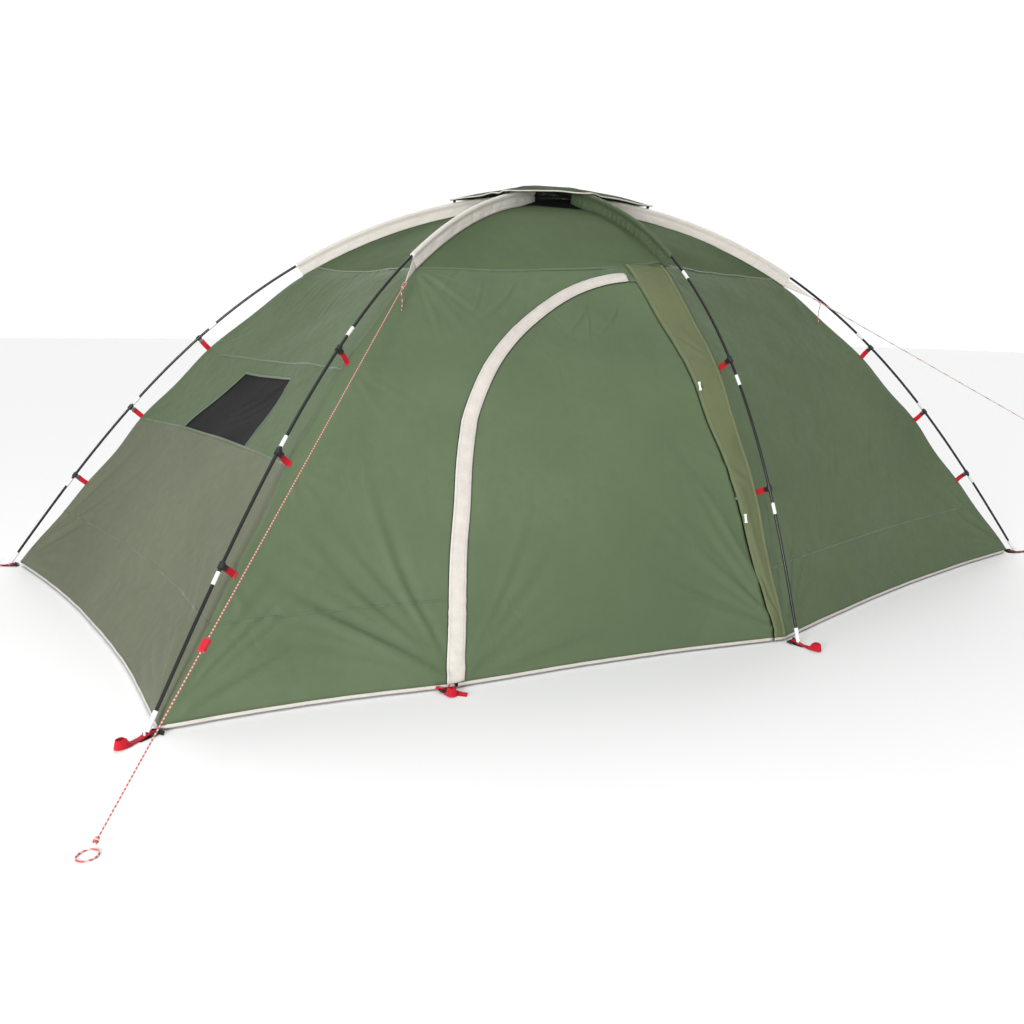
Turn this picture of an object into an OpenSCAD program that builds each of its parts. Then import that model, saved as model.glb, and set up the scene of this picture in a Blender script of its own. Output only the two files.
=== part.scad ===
// Dome tent hung from three crossing poles, with six feet, a side door and a rain cap.
// Origin: on the ground under the pole crossing. +X towards the right feet, -Y towards the door.

/* [Frame] */
// Distance between the left and the right feet
foot_span_x = 3800; // [3400:50:4200]
// Distance between the front and rear corner feet
foot_span_y = 1970; // [1800:10:2200]
// Distance between the two middle feet
mid_span_y = 2690; // [2500:10:2900]
// Height of the lowest pole's centre at the crossing
ridge_h = 1465; // [1350:5:1600]
// Pole diameter
pole_d = 9.5; // [8.5:0.5:10.5]
// Sections in each long pole, an odd number
long_sections = 13; // [11:2:15]
// Sections in the short pole, an even number
short_sections = 10; // [8:2:12]

/* [Fabric] */
// Thickness that stands for the cloth
cloth = 4; // [3:0.5:5]
// Distance from a pole's centre to the cloth under the sleeves
gap_top = 45; // [40:1:50]
// Distance from a pole's centre to the cloth below the sleeves
gap_low = 55; // [45:1:65]
// Inward curve of the end walls
end_sag = 60; // [30:1:80]
// Inward curve of the long walls
long_sag = 40; // [20:1:60]
// Hem binding height
hem_h = 14; // [12:1:18]

/* [Door] */
// Distance the door flap's width covers
flap_w = 50; // [40:1:60]
// Width of the strip between door and pole at the top
strip_top = 145; // [130:1:160]
// Width of that strip at the hem
strip_low = 50; // [40:1:60]

/* [Trim] */
// Webbing width of the clip straps
clip_web = 20; // [15:1:25]
// Webbing width of the foot straps
foot_web = 25; // [20:1:30]
// Guy line diameter
guy_d = 3.5; // [3:0.1:4]

/* [Hidden] */
green = [0.40, 0.47, 0.36];
cream = [0.92, 0.89, 0.86];
red = [0.84, 0.10, 0.16];
black = [0.08, 0.08, 0.09];
silver = [0.85, 0.86, 0.87];
hx = foot_span_x / 2;
hy = foot_span_y / 2;
hm = mid_span_y / 2;
pole_r = pole_d / 2;
// Legs in order round the tent, seen from above
FEET = [[-hx, hy], [-hx, -hy], [0, -hm], [hx, -hy], [hx, hy], [0, hm]];
MIDDLE = [false, false, true, false, false, true];
// Height that each pole passes above the lowest one at the crossing
OVER = [0, 11, 22, 0, 11, 22];
// Where the seam under the crown crosses each leg
SEAM = [0.37, 0.39, 0.34, 0.37, 0.37, 0.37];
// End slope of a long and of the short pole, degrees
bend_long = 53;
bend_short = 72.5;
// Fractions of a leg's length, from the crossing to the foot
sleeve_from = 0.06;
sleeve_to_long = 0.39;
sleeve_to_short = 0.355;
crown_t = 0.10;
cap_long = 0.15;
cap_short = 0.115;
// The cloth under the crossing, and the cap's underside above the pole centres: at its edge, and
// how much more at its middle
gap_mid = 12;
cap_h = 19.5;
cap_bulge = 12;
CLIPS_LONG = [0.565, 0.705, 0.833];
CLIPS_SHORT = [0.565, 0.77];
// Small distances that keep neighbours apart
slit = 0.0004;
zip_in = 3.4;
skin_gap = 2.5;
// Door edge: straight below door_bend_t, then a quarter oval up to door_top_t
door_bend_t = 0.65;
door_top_t = 0.384;
door_bend_u = 0.34;
door_low_u = 0.405;
door_right_u = 0.845;
opening_top_t = 0.392;
// Guy lines, from their ring to the ground
GUY_L = [[-955, -535, 1085], [-2125, -1465, 2]];
GUY_R = [[955, -550, 1085], [2500, -1850, 2]];
lok_l = 0.74;
lok_r = 0.74;

// Bent pole: slope follows bend * sin(90 s), which is close to a true springy rod
STEPS = 60;
function slope(bend, s) = bend * sin(90 * s);
function run(bend) = [for (i = 0, x = 0; i <= STEPS;
    x = x + cos(slope(bend, (i + 0.5) / STEPS)) / STEPS, i = i + 1) x];
function fall(bend) = [for (i = 0, z = 0; i <= STEPS;
    z = z + sin(slope(bend, (i + 0.5) / STEPS)) / STEPS, i = i + 1) z];
RUN_LONG = run(bend_long);
FALL_LONG = fall(bend_long);
RUN_SHORT = run(bend_short);
FALL_SHORT = fall(bend_short);
function at(tab, s) = let (k = min(floor(s * STEPS), STEPS - 1), f = s * STEPS - k)
    (tab[k] * (1 - f) + tab[k + 1] * f) / tab[STEPS];
function smooth(x) = let (c = min(max(x, 0), 1)) c * c * (3 - 2 * c);
function mix(a, b, f) = a * (1 - f) + b * f;
function unit(v) = v / norm(v);

// A leg's own directions and curve
function reach(i) = norm(FEET[i]);
function out_dir(i) = [FEET[i].x, FEET[i].y, 0] / reach(i);
function side_dir(i) = [-out_dir(i).y, out_dir(i).x, 0];
function leg_rz(i, s) = [reach(i) * at(MIDDLE[i] ? RUN_SHORT : RUN_LONG, s),
    ridge_h * (1 - at(MIDDLE[i] ? FALL_SHORT : FALL_LONG, s))];
function leg_slope(i, s) = let (a = leg_rz(i, max(s - 0.01, 0)), b = leg_rz(i, min(s + 0.01, 1)))
    atan2(a.y - b.y, b.x - a.x);
function over(i, s) = OVER[i] * (1 - smooth(s / 0.2));
function leg(i, s, lift = 0, side = 0) = let (p = leg_rz(i, s), a = leg_slope(i, s))
    out_dir(i) * (p.x + lift * sin(a)) + side_dir(i) * side
    + [0, 0, p.y + lift * cos(a)];
function pole_at(i, s, lift = 0, side = 0) = leg(i, s, lift, side) + [0, 0, over(i, s)];

// The cloth: ridges under the poles, and walls between the ridges
function sleeve_to(i) = MIDDLE[i] ? sleeve_to_short : sleeve_to_long;
function gap_over(s) = mix(gap_mid, gap_top, smooth(s / 0.12));
function gap(i, s) = gap_over(s) + (gap_low - gap_top) * smooth((s - sleeve_to(i)) / 0.18);
function ridge(i, s, depth) = let (g = gap(i, s) + depth, a = leg_slope(i, s))
    leg(i, s, -g) + [0, 0, smooth((s - 0.8) / 0.2) * (g * cos(a) + hem_h)];
function wall_out(k) = let (d = FEET[(k + 1) % 6] - FEET[k]) unit([d.y, -d.x, 0]);
function bow(u) = 4 * u * (1 - u);
function sag(k, u, s) = k == 0 || k == 3 ? end_sag * s * bow(u)
    : k == 1 ? long_sag * s * (1 - s * s * s) * bow(u)
        + long_sag * 0.6 * pow(s, 4) * abs(sin(u < door_low_u ? 180 * u / door_low_u
            : 180 * (u - door_low_u) / (1 - door_low_u)))
    : long_sag * s * bow(u);
function skin(v, s, depth = 0) = let (w = v % 6, k = floor(w), u = w - k)
    mix(ridge(k, s, depth), ridge((k + 1) % 6, s, depth), u) - wall_out(k) * sag(k, u, s);
function seam(v) = let (w = v % 6, k = floor(w)) mix(SEAM[k], SEAM[(k + 1) % 6], w - k);
function wall_w(k, s) = norm(ridge(k, s, 0) - ridge((k + 1) % 6, s, 0));

// Closed shell between two grids of points, given row by row from the top down. A ring's rows
// join end to start, a cap closes the middle of the first row, and an open cell is left out
module shell_of(top, under, nr, nc, ring = false, cap = false, open = function(i, j) false) {
    n = nr * nc;
    cells = ring ? nc : nc - 1;
    has = function(i, j) i >= 0 && i < nr - 1 && (ring || (j >= 0 && j < cells))
        && !open(i, (j + nc) % nc);
    id = function(i, j) i * nc + j % nc;
    edge = function(a, b) [[b, a, a + n], [b, a + n, b + n]];
    mid = function(ring_pts) [for (j = [0:nc - 1]) 1] * ring_pts / nc;
    first = function(pts) [for (j = [0:nc - 1]) pts[j]];
    faces = [for (i = [0:nr - 2]) for (j = [0:cells - 1]) if (has(i, j))
        let (a = id(i, j), b = id(i, j + 1), c = id(i + 1, j + 1), d = id(i + 1, j))
        for (f = concat([[a, b, c], [a, c, d], [c + n, b + n, a + n], [d + n, c + n, a + n]],
            has(i - 1, j) || (cap && i == 0) ? [] : edge(a, b),
            has(i, j + 1) ? [] : edge(b, c),
            has(i + 1, j) ? [] : edge(c, d),
            has(i, j - 1) ? [] : edge(d, a))) f];
    lid = cap ? [for (j = [0:nc - 1]) let (a = j, b = (j + 1) % nc)
        for (f = [[2 * n, b, a], [2 * n + 1, a + n, b + n]]) f] : [];
    polyhedron(concat(top, under, cap ? [mid(first(top)), mid(first(under))] : []),
        concat(faces, lid), convexity = 8);
}
// Such a shell over rows of [v, s] places on the cloth
module shell(rows, outer = 0, inner = cloth, ring = false, cap = false, open = function(i, j) false) {
    shell_of([for (r = rows) for (p = r) skin(p.x, p.y, outer)],
        [for (r = rows) for (p = r) skin(p.x, p.y, inner)],
        len(rows), len(rows[0]), ring, cap, open);
}
function steps(a, b, n) = [for (i = [0:n]) mix(a, b, i / n)];
module plain_wall(k) shell([for (f = steps(0, 1, 10)) [for (u = steps(slit, 1 - slit, 6))
    [k + u, mix(seam(k + u) + slit, 1, f)]]]);

// Door outline in wall places
function door_u(s) = s >= door_bend_t
    ? mix(door_bend_u, door_low_u, (s - door_bend_t) / (1 - door_bend_t))
    : door_right_u - (door_right_u - door_bend_u)
        * sqrt(max(0, 1 - pow((door_bend_t - s) / (door_bend_t - door_top_t), 2)));
function strip_w(s) = mix(strip_top, strip_low, (s - 0.39) / 0.585);
function hinge_u(s) = 1 - strip_w(s) / wall_w(1, s);
DOOR_ROWS = [opening_top_t, 0.402, 0.42, 0.45, 0.49, 0.54, 0.60, 0.66, 0.73, 0.80, 0.87, 0.94, 1];

module groundsheet() {
    color([0.30, 0.32, 0.31])
    translate([0, 0, 0.6])
    linear_extrude(2)
    polygon([for (v = steps(0, 6 - 0.25, 23)) let (p = skin(v, 1, 16)) [p.x, p.y] * 0.985]);
}
module crown_panel() {
    color(green)
    shell([for (f = steps(0, 1, 6)) [for (v = [0:0.25:5.75]) [v, mix(crown_t, seam(v) - slit, f)]]],
        ring = true);
}
module left_panel() {
    // Row 4 to 5 and column 2 to 3 hold the window opening
    rows = [0, 0.43, 0.49, 0.545, 0.60, 0.708, 0.78, 0.86, 0.93, 1];
    color(green)
    shell([for (s = rows) let (f = (s - 0.60) / 0.108, g = min(max(f, 0), 1))
        [for (u = [slit, 0.19, mix(0.38, 0.315, g), mix(0.71, 0.715, g), 0.86, 1 - slit])
            [u, max(s, seam(u) + slit)]]],
        open = function(i, j) i == 4 && j == 2);
}
module window_pane() {
    color([0.19, 0.19, 0.20])
    shell([for (s = steps(0.602, 0.706, 3)) let (g = (s - 0.60) / 0.108)
        [for (u = steps(mix(0.384, 0.319, g), mix(0.706, 0.711, g), 4)) [u, s]]],
        outer = 0.5, inner = 3);
}
module front_left_panel() {
    all_s = concat([0], DOOR_ROWS);
    color(green)
    shell([for (s = all_s) let (q = max(s, opening_top_t), a = door_u(q) - 0.002, b = hinge_u(q) + 0.002)
        [for (u = concat(steps(slit, a, 4), steps(b, 1 - slit, 2)))
            [1 + u, max(s, seam(1 + u) + slit)]]],
        open = function(i, j) i >= 1 && j == 4);
}
module front_right_panel() color(green) plain_wall(2);
module right_panel() color(green) plain_wall(3);
module rear_right_panel() color(green) plain_wall(4);
module rear_left_panel() color(green) plain_wall(5);
module vent_mesh() {
    color(black)
    shell([for (s = [0.012, 0.05, crown_t - 0.004]) [for (v = [0:0.25:5.75]) [v, s]]],
        outer = 1, inner = 3, ring = true, cap = true);
}

// The cap's edge curves in between its six corners
function cap_edge(v) = let (w = v % 6, k = floor(w), u = w - k,
    a = MIDDLE[k] ? cap_short : cap_long, b = MIDDLE[(k + 1) % 6] ? cap_short : cap_long)
    mix(a, b, u) - 0.02 * bow(u);
module rain_cap() {
    around = [0:0.25:5.75];
    sheet = function(low) [for (f = [0.1, 0.35, 0.7, 1]) for (v = around) let (s = f * cap_edge(v))
        skin(v, s, -low - cap_bulge * (1 - f * f) - gap_over(s))];
    color([0.24, 0.31, 0.22])
    shell_of(sheet(cap_h + 2.5), sheet(cap_h), 4, 24, ring = true, cap = true);
}

// A frame on a leg: X along the pole towards the foot, Z away from the tent
module on_leg(i, s, lift = 0, side = 0) {
    translate(pole_at(i, s, lift, side))
    rotate([0, 0, atan2(FEET[i].y, FEET[i].x)])
    rotate([0, leg_slope(i, s), 0])
    children();
}
module cap_ties() {
    color(black)
    for (i = [0:5]) {
        s = MIDDLE[i] ? cap_short : cap_long;
        low = 8.9;
        high = cap_h - 0.3 - over(i, s);
        on_leg(i, s - 0.006, (low + high) / 2)
        cube([9, 16, max(high - low, 1.2)], center = true);
    }
}
module hem_binding() {
    // Strip round the foot of the walls, left out under the door
    a = 1 + door_low_u - 0.002;
    b = 1 + hinge_u(1) + 0.002;
    line = concat(steps(b, 2, 2), steps(2.125, 7 - 0.125, 38), steps(7, 6 + a, 4));
    color(cream)
    hem_strip(line);
}
module hem_strip(line) {
    n = len(line);
    ring = [for (v = line) for (q = [[-0.8, 0], [-0.8, 1], [cloth + 0.8, 1], [cloth + 0.8, 0]])
        let (p = skin(v, 1, q.x)) [p.x, p.y, q.y * (hem_h - 0.2)]];
    polyhedron(ring, concat([[0, 1, 2], [0, 2, 3]],
        [for (i = [0:n - 2]) for (k = [0:3]) let (a = i * 4 + k, b = i * 4 + (k + 1) % 4)
            for (f = [[a, a + 4, b + 4], [a, b + 4, b]]) f],
        [[n * 4 - 4, n * 4 - 2, n * 4 - 3], [n * 4 - 4, n * 4 - 1, n * 4 - 2]]), convexity = 8);
}
module door_side_flap() {
    color([0.45, 0.49, 0.35])
    shell([for (s = concat([0.353], DOOR_ROWS)) let (w = wall_w(1, s))
        [for (e = [strip_w(s) - 3, strip_w(s) / 2, 5]) [2 - e / w, s]]],
        outer = -skin_gap - 2, inner = -skin_gap);
}

// Places along the door edge, q = 0 at the hem; e is the distance into the door
function edge_us(q) = q < 0.4 ? [mix(door_low_u, door_bend_u, q / 0.4), mix(1, door_bend_t, q / 0.4)]
    : let (a = (q - 0.4) / 0.6 * 88) [door_right_u - (door_right_u - door_bend_u) * cos(a),
        door_bend_t - (door_bend_t - door_top_t) * sin(a)];
function edge_place(q, e) = let (p = edge_us(q), w = wall_w(1, p.y), l = 2700,
    d = edge_us(min(q + 0.01, 1)) - edge_us(max(q - 0.01, 0)),
    t = unit([d.x * w, d.y * l]))
    [1 + p.x - t.y * e / w, min(p.y + t.x * e / l, 1)];
module edge_band(q0, q1, n, e0, e1, outer, inner) {
    shell([for (q = steps(q0, q1, n)) [edge_place(q, e0), edge_place(q, e1)]],
        outer = inner, inner = outer);
}
module door_zip() {
    color(black)
    edge_band(0.01, 0.93, 36, -12, 12, cloth + zip_in, cloth + zip_in + 2);
}
module door_storm_flap() {
    color(cream)
    edge_band(0, 0.985, 22, -flap_w / 2, flap_w / 2, -skin_gap - 2, -skin_gap);
}
module door_panel() {
    color([0.40, 0.48, 0.36])
    shell([for (s = DOOR_ROWS) let (q = max(s - 0.003, opening_top_t),
        a = door_u(q) + 0.004, b = hinge_u(s) - 0.002)
        [for (u = steps(a, b, 6)) [1 + u, max(s, opening_top_t + 0.002)]]]);
}
module door_hem() {
    color(cream)
    hem_strip(steps(1 + door_low_u + 0.004, 1 + hinge_u(1) - 0.002, 8));
}

// Sleeve: a tube round the pole, drawn out into a fin that stands on the cloth
module sleeve(i) {
    c = i == 2 ? green : cream;
    n = 12;
    m = 12;
    s_list = steps(sleeve_from, sleeve_to(i), m);
    ring = function(r, off) [for (s = s_list) for (a = [0:n - 1])
        let (h = sin(360 * a / n) * (a > n / 2 ? gap(i, s) + over(i, s) - off : r))
        pole_at(i, s, h, r * cos(360 * a / n))];
    k = n * (m + 1);
    last = n * m;
    color(c)
    polyhedron(concat(ring(8.4, 1.5), ring(7.2, 5)), concat(
        [for (r = [0:m - 1]) for (j = [0:n - 1]) let (a = r * n + j, b = r * n + (j + 1) % n)
            for (f = [[a, a + n, b + n], [a, b + n, b], [b + k, b + n + k, a + n + k],
                [b + k, a + n + k, a + k]]) f],
        [for (j = [0:n - 1]) let (a = j, b = (j + 1) % n, c = last + j, d = last + (j + 1) % n)
            for (f = [[a, b, b + k], [a, b + k, a + k], [c, c + k, d + k], [c, d + k, d]]) f]),
        convexity = 6);
}
module sleeve_rear_left() sleeve(0);
module sleeve_front_left() sleeve(1);
module sleeve_front_middle() sleeve(2);
module sleeve_front_right() sleeve(3);
module sleeve_rear_right() sleeve(4);
module sleeve_rear_middle() sleeve(5);

// Pole: one tube swept from foot to foot over the crossing
pole_end = 0.975;
function opposite(i) = (i + 3) % 6;
function pole_path(i, n) = concat([for (s = steps(pole_end, 0.02, n)) [i, s]],
    [for (s = steps(0.02, pole_end, n)) [opposite(i), s]]);
module pole(i) {
    n = 10;
    path = pole_path(i, 22);
    m = len(path);
    pts = [for (p = path) for (a = [0:n - 1])
        pole_at(p.x, p.y, pole_r * sin(360 * a / n), (p.x == i ? 1 : -1) * pole_r * cos(360 * a / n))];
    color(black)
    polyhedron(pts, concat(
        [for (r = [0:m - 2]) for (j = [0:n - 1]) let (a = r * n + j, b = r * n + (j + 1) % n)
            for (f = [[a, b, b + n], [a, b + n, a + n]]) f],
        [for (j = [1:n - 2]) for (f = [[0, j + 1, j],
            [(m - 1) * n, (m - 1) * n + j, (m - 1) * n + j + 1]]) f]), convexity = 6);
}
module pole_a() pole(0);
module pole_b() pole(1);
module pole_c() pole(2);
module pole_ferrules() {
    color(silver)
    for (i = [0:5]) {
        joints = MIDDLE[i] ? [for (k = [1:short_sections / 2 - 1]) 2 * k / short_sections]
            : [for (k = [1:2:long_sections - 2]) k / long_sections];
        for (s = joints)
            on_leg(i, s)
            rotate([0, 90, 0])
            cylinder(r = pole_r + 0.8, h = 36, center = true, $fn = 24);
    }
}
module pole_tips() {
    // White end caps, each with a pin that stands in the foot strap
    color(silver)
    for (i = [0:5]) {
        on_leg(i, pole_end)
        rotate([0, 90, 0])
        cylinder(r = pole_r + 1.6, h = MIDDLE[i] ? 44 : 52, $fn = 24);
        translate(out_dir(i) * (reach(i) - 3))
        cylinder(r = 3, h = 22, $fn = 24);
    }
}
function clips(i) = MIDDLE[i] ? CLIPS_SHORT : CLIPS_LONG;
module clip_hooks() {
    color(black)
    for (i = [0:5])
        for (s = clips(i))
            on_leg(i, s) {
                rotate([0, 90, 0])
                difference() {
                    cylinder(r = pole_r + 3.6, h = 18, center = true, $fn = 24);
                    cylinder(r = pole_r + 0.4, h = 20, center = true, $fn = 24);
                }
                translate([0, 0, -pole_r - 8.5])
                cube([14, 12, 12], center = true);
            }
}
module clip_straps() {
    color(red)
    for (i = [0:5])
        for (s = clips(i)) {
            long = gap(i, s) - pole_r - 15.5;
            on_leg(i, s, -pole_r - 14.8 - long / 2)
            cube([clip_web, 2, long], center = true);
        }
}

// Pieces on the ground at each foot, X away from the tent
module at_foot(i) {
    rotate([0, 0, atan2(FEET[i].y, FEET[i].x)])
    translate([reach(i), 0, 0])
    children();
}
module foot_straps() {
    color(black)
    for (i = [0:5])
        at_foot(i)
        difference() {
            translate([-40, -foot_web / 2, 0])
            cube([62, foot_web, 1.6]);
            translate([-3, 0, -1])
            cylinder(r = 3.6, h = 4, $fn = 24);
        }
}
module foot_buckles() {
    color(black)
    for (i = [0:5])
        at_foot(i)
        translate([-30, -foot_web / 2 - 3, 1.8])
        difference() {
            cube([16, foot_web + 6, 7]);
            translate([5, 3, 2])
            cube([6, foot_web, 6]);
        }
}
// Flat webbing loop for a peg, lying on the ground
loop_in = [12, 34];
module peg_loop() {
    difference() {
        translate([0, -loop_in.x / 2 - 8, 0])
        cube([loop_in.y + 16, loop_in.x + 16, 2.4]);
        translate([8, -loop_in.x / 2, -1])
        cube([loop_in.y, loop_in.x, 5]);
    }
}
function mid_loop(rear) = let (p = skin(rear ? 4.62 : 1.385, 1, -1)) [p.x, p.y];
module peg_loops() {
    color(red) {
        for (i = [0:5])
            at_foot(i)
            translate([22.3, 0, 0])
            peg_loop();
        for (rear = [false, true])
            translate([mid_loop(rear).x, mid_loop(rear).y, 0])
            rotate([0, 0, rear ? 90 : -90])
            translate([5, 0, 0])
            peg_loop();
    }
}

// Guy lines
function guy_dir(g) = unit(g[1] - g[0]);
module along(p, d) {
    translate(p)
    rotate([0, acos(d.z), atan2(d.y, d.x)])
    children();
}
module guy_cord(g) {
    color(red)
    along(g[0] + guy_dir(g) * 14, guy_dir(g))
    cylinder(r = guy_d / 2, h = norm(g[1] - g[0]) - 44, $fn = 8);
}
module guy_line_left() guy_cord(GUY_L);
module guy_line_right() guy_cord(GUY_R);
module guy_end(g) {
    // Loop for a peg and its knot, lying on the ground
    d = guy_dir(g);
    flat = unit([d.x, d.y, 0]);
    c = [g[1].x, g[1].y, guy_d / 2 + 0.2] + flat * 4;
    color(red) {
        translate(c)
        rotate_extrude($fn = 32)
        translate([22, 0])
        circle(r = guy_d / 2, $fn = 16);
        translate(g[1] - d * 26 + [0, 0, 1])
        sphere(r = 6.5, $fn = 20);
    }
}
module guy_end_left() guy_end(GUY_L);
module guy_end_right() guy_end(GUY_R);
module guy_tabs() {
    // Triangular cloth tabs from the sleeve's end to the guy ring
    color(cream)
    for (g = [[1, GUY_L], [3, GUY_R]]) {
        i = g.x;
        a = pole_at(i, sleeve_to(i) + 0.001, -12);
        b = pole_at(i, sleeve_to(i) + 0.001, 3 - gap_top);
        c = g.y[0] - guy_dir(g.y) * 12;
        n = unit(cross(b - a, c - a)) * 0.8;
        polyhedron([a + n, b + n, c + n, a - n, b - n, c - n],
            [[0, 2, 1], [3, 4, 5], [0, 1, 4], [0, 4, 3], [1, 2, 5], [1, 5, 4], [2, 0, 3], [2, 3, 5]]);
    }
}
module guy_rings() {
    color(red)
    for (g = [GUY_L, GUY_R])
        along(g[0], guy_dir(g))
        rotate([90, 0, 0])
        rotate_extrude($fn = 32)
        translate([9, 0])
        circle(r = 2, $fn = 16);
}
module tensioner(g, f) {
    color(red)
    along(mix(g[0], g[1], f), guy_dir(g))
    difference() {
        translate([0, 0, -16])
        linear_extrude(32)
        square([9, 16], center = true);
        translate([0, 0, -20])
        cylinder(r = guy_d / 2 + 0.5, h = 40, $fn = 24);
    }
}
module tensioner_left() tensioner(GUY_L, lok_l);
module tensioner_right() tensioner(GUY_R, lok_r);

// Zip slider on the inside of the door's straight edge, and its pull
slider_q = 0.035;
slider_in = cloth + zip_in + 10.5;
function slider_at() = let (p = edge_place(slider_q, 0)) skin(p.x, p.y, slider_in);
function slider_dir() = let (p = edge_place(slider_q, 0), q = edge_place(0.16, 0))
    unit(skin(q.x, q.y, slider_in) - skin(p.x, p.y, slider_in));
module at_slider() {
    along(slider_at(), slider_dir())
    children();
}
// The pull's pin stands off the slider, towards the inside of the tent
function pull_pin() = let (d = slider_dir(), h = norm([d.x, d.y]))
    slider_at() + 5.5 * [d.x * d.z / h, d.y * d.z / h, -h];
module zip_slider() {
    color(silver)
    at_slider() {
        translate([-2.2, -5, -9])
        cube([4.4, 10, 18]);
        translate([5.5, 0, 0])
        rotate([90, 0, 0])
        difference() {
            cylinder(r = 4, h = 3, center = true, $fn = 24);
            cylinder(r = 1.8, h = 4, center = true, $fn = 24);
        }
    }
}
module zip_pull() {
    color(red)
    translate(pull_pin())
    rotate([0, 0, atan2(slider_dir().y, slider_dir().x)]) {
        rotate([90, 0, 0])
        cylinder(r = 1.4, h = 12, center = true, $fn = 24);
        for (y = [-5.2, 5.2])
            translate([-1, y - 0.8, -12])
            cube([2, 1.6, 12]);
        translate([-1, -6, -38])
        cube([2, 12, 26]);
    }
}

// Toggles that hold the rolled door, each sewn on by a loop at the strip's left edge
TOGGLES = [0.60, 0.81];
function strip_edge(s, e, d) = skin(2 - (strip_w(s) - 3 + e) / wall_w(1, s), s, -d);
module at_toggle(s) {
    // X to the left along the wall, Z away from it
    a = strip_edge(s, -17, 6);
    d = unit(strip_edge(s, 23, 6) - a);
    translate(a)
    rotate([0, 0, atan2(d.y, d.x)])
    rotate([-leg_slope(2, s), 0, 0])
    children();
}
module toggle_loop(s) {
    color(black)
    at_toggle(s)
    translate([0.5, -2, 1])
    cube([6.5, 4, 1.5]);
}
module toggle(s) {
    color([0.95, 0.95, 0.93])
    at_toggle(s)
    translate([11, 0, 4]) {
        rotate([90, 0, 0])
        cylinder(r = 3.9, h = 26, center = true, $fn = 24);
        for (y = [-11.5, 11.5])
            translate([0, y, 0])
            rotate([90, 0, 0])
            cylinder(r = 5, h = 5, center = true, $fn = 24);
    }
}
module toggle_loop_upper() toggle_loop(TOGGLES[0]);
module toggle_loop_lower() toggle_loop(TOGGLES[1]);
module toggle_upper() toggle(TOGGLES[0]);
module toggle_lower() toggle(TOGGLES[1]);

groundsheet();
crown_panel();
left_panel();
front_left_panel();
front_right_panel();
right_panel();
rear_right_panel();
rear_left_panel();
window_pane();
vent_mesh();
rain_cap();
cap_ties();
hem_binding();
door_side_flap();
door_zip();
sleeve_rear_left();
sleeve_front_left();
sleeve_front_middle();
sleeve_front_right();
sleeve_rear_right();
sleeve_rear_middle();
pole_a();
pole_b();
pole_c();
pole_ferrules();
pole_tips();
clip_hooks();
clip_straps();
foot_straps();
foot_buckles();
peg_loops();
guy_tabs();
guy_rings();
toggle_loop_upper();
toggle_loop_lower();
door_panel();
door_storm_flap();
door_hem();
zip_slider();
zip_pull();
toggle_upper();
toggle_lower();
tensioner_left();
tensioner_right();
guy_line_left();
guy_line_right();
guy_end_left();
guy_end_right();
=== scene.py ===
"""Dome tent hung from three crossing poles: looks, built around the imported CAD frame."""
import math

import bpy
import bmesh
import numpy as np
from mathutils import Matrix, Vector


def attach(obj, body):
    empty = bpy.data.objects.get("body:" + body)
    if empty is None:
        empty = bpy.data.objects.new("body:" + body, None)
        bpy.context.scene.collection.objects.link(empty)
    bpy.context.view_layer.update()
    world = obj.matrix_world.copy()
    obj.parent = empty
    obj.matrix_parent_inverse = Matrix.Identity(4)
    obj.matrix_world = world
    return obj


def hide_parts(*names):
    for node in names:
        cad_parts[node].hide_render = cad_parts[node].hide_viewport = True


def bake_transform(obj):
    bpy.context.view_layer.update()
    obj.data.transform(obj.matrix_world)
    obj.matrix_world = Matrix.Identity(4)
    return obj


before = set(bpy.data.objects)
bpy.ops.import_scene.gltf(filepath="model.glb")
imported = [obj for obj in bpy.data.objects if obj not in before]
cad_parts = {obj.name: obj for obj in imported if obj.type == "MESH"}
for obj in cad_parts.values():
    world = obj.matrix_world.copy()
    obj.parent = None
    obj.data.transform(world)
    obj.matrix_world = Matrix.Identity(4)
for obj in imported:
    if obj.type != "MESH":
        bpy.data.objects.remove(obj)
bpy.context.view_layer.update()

# ---------------------------------------------------------------- camera
CAM_PLACE = (-2.459, -3.298, 0.984)
CAM_YAW, CAM_PITCH, CAM_ROLL = 0.607, 0.189, 0.017
CAM_LENS = 35.2


def add_camera():
    yaw, pitch = CAM_YAW, CAM_PITCH
    ahead = Vector((math.sin(yaw) * math.cos(pitch), math.cos(yaw) * math.cos(pitch), -math.sin(pitch)))
    level = Vector((math.cos(yaw), -math.sin(yaw), 0))
    above = level.cross(ahead)
    right = math.cos(CAM_ROLL) * level + math.sin(CAM_ROLL) * above
    up = -math.sin(CAM_ROLL) * level + math.cos(CAM_ROLL) * above
    cam = bpy.data.objects.new("camera", bpy.data.cameras.new("camera"))
    bpy.context.scene.collection.objects.link(cam)
    turn = Matrix((right, up, -ahead)).transposed()
    cam.matrix_world = Matrix.Translation(CAM_PLACE) @ turn.to_4x4()
    cam.data.lens = CAM_LENS
    cam.data.sensor_width = 36
    bpy.context.scene.camera = cam


add_camera()

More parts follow.
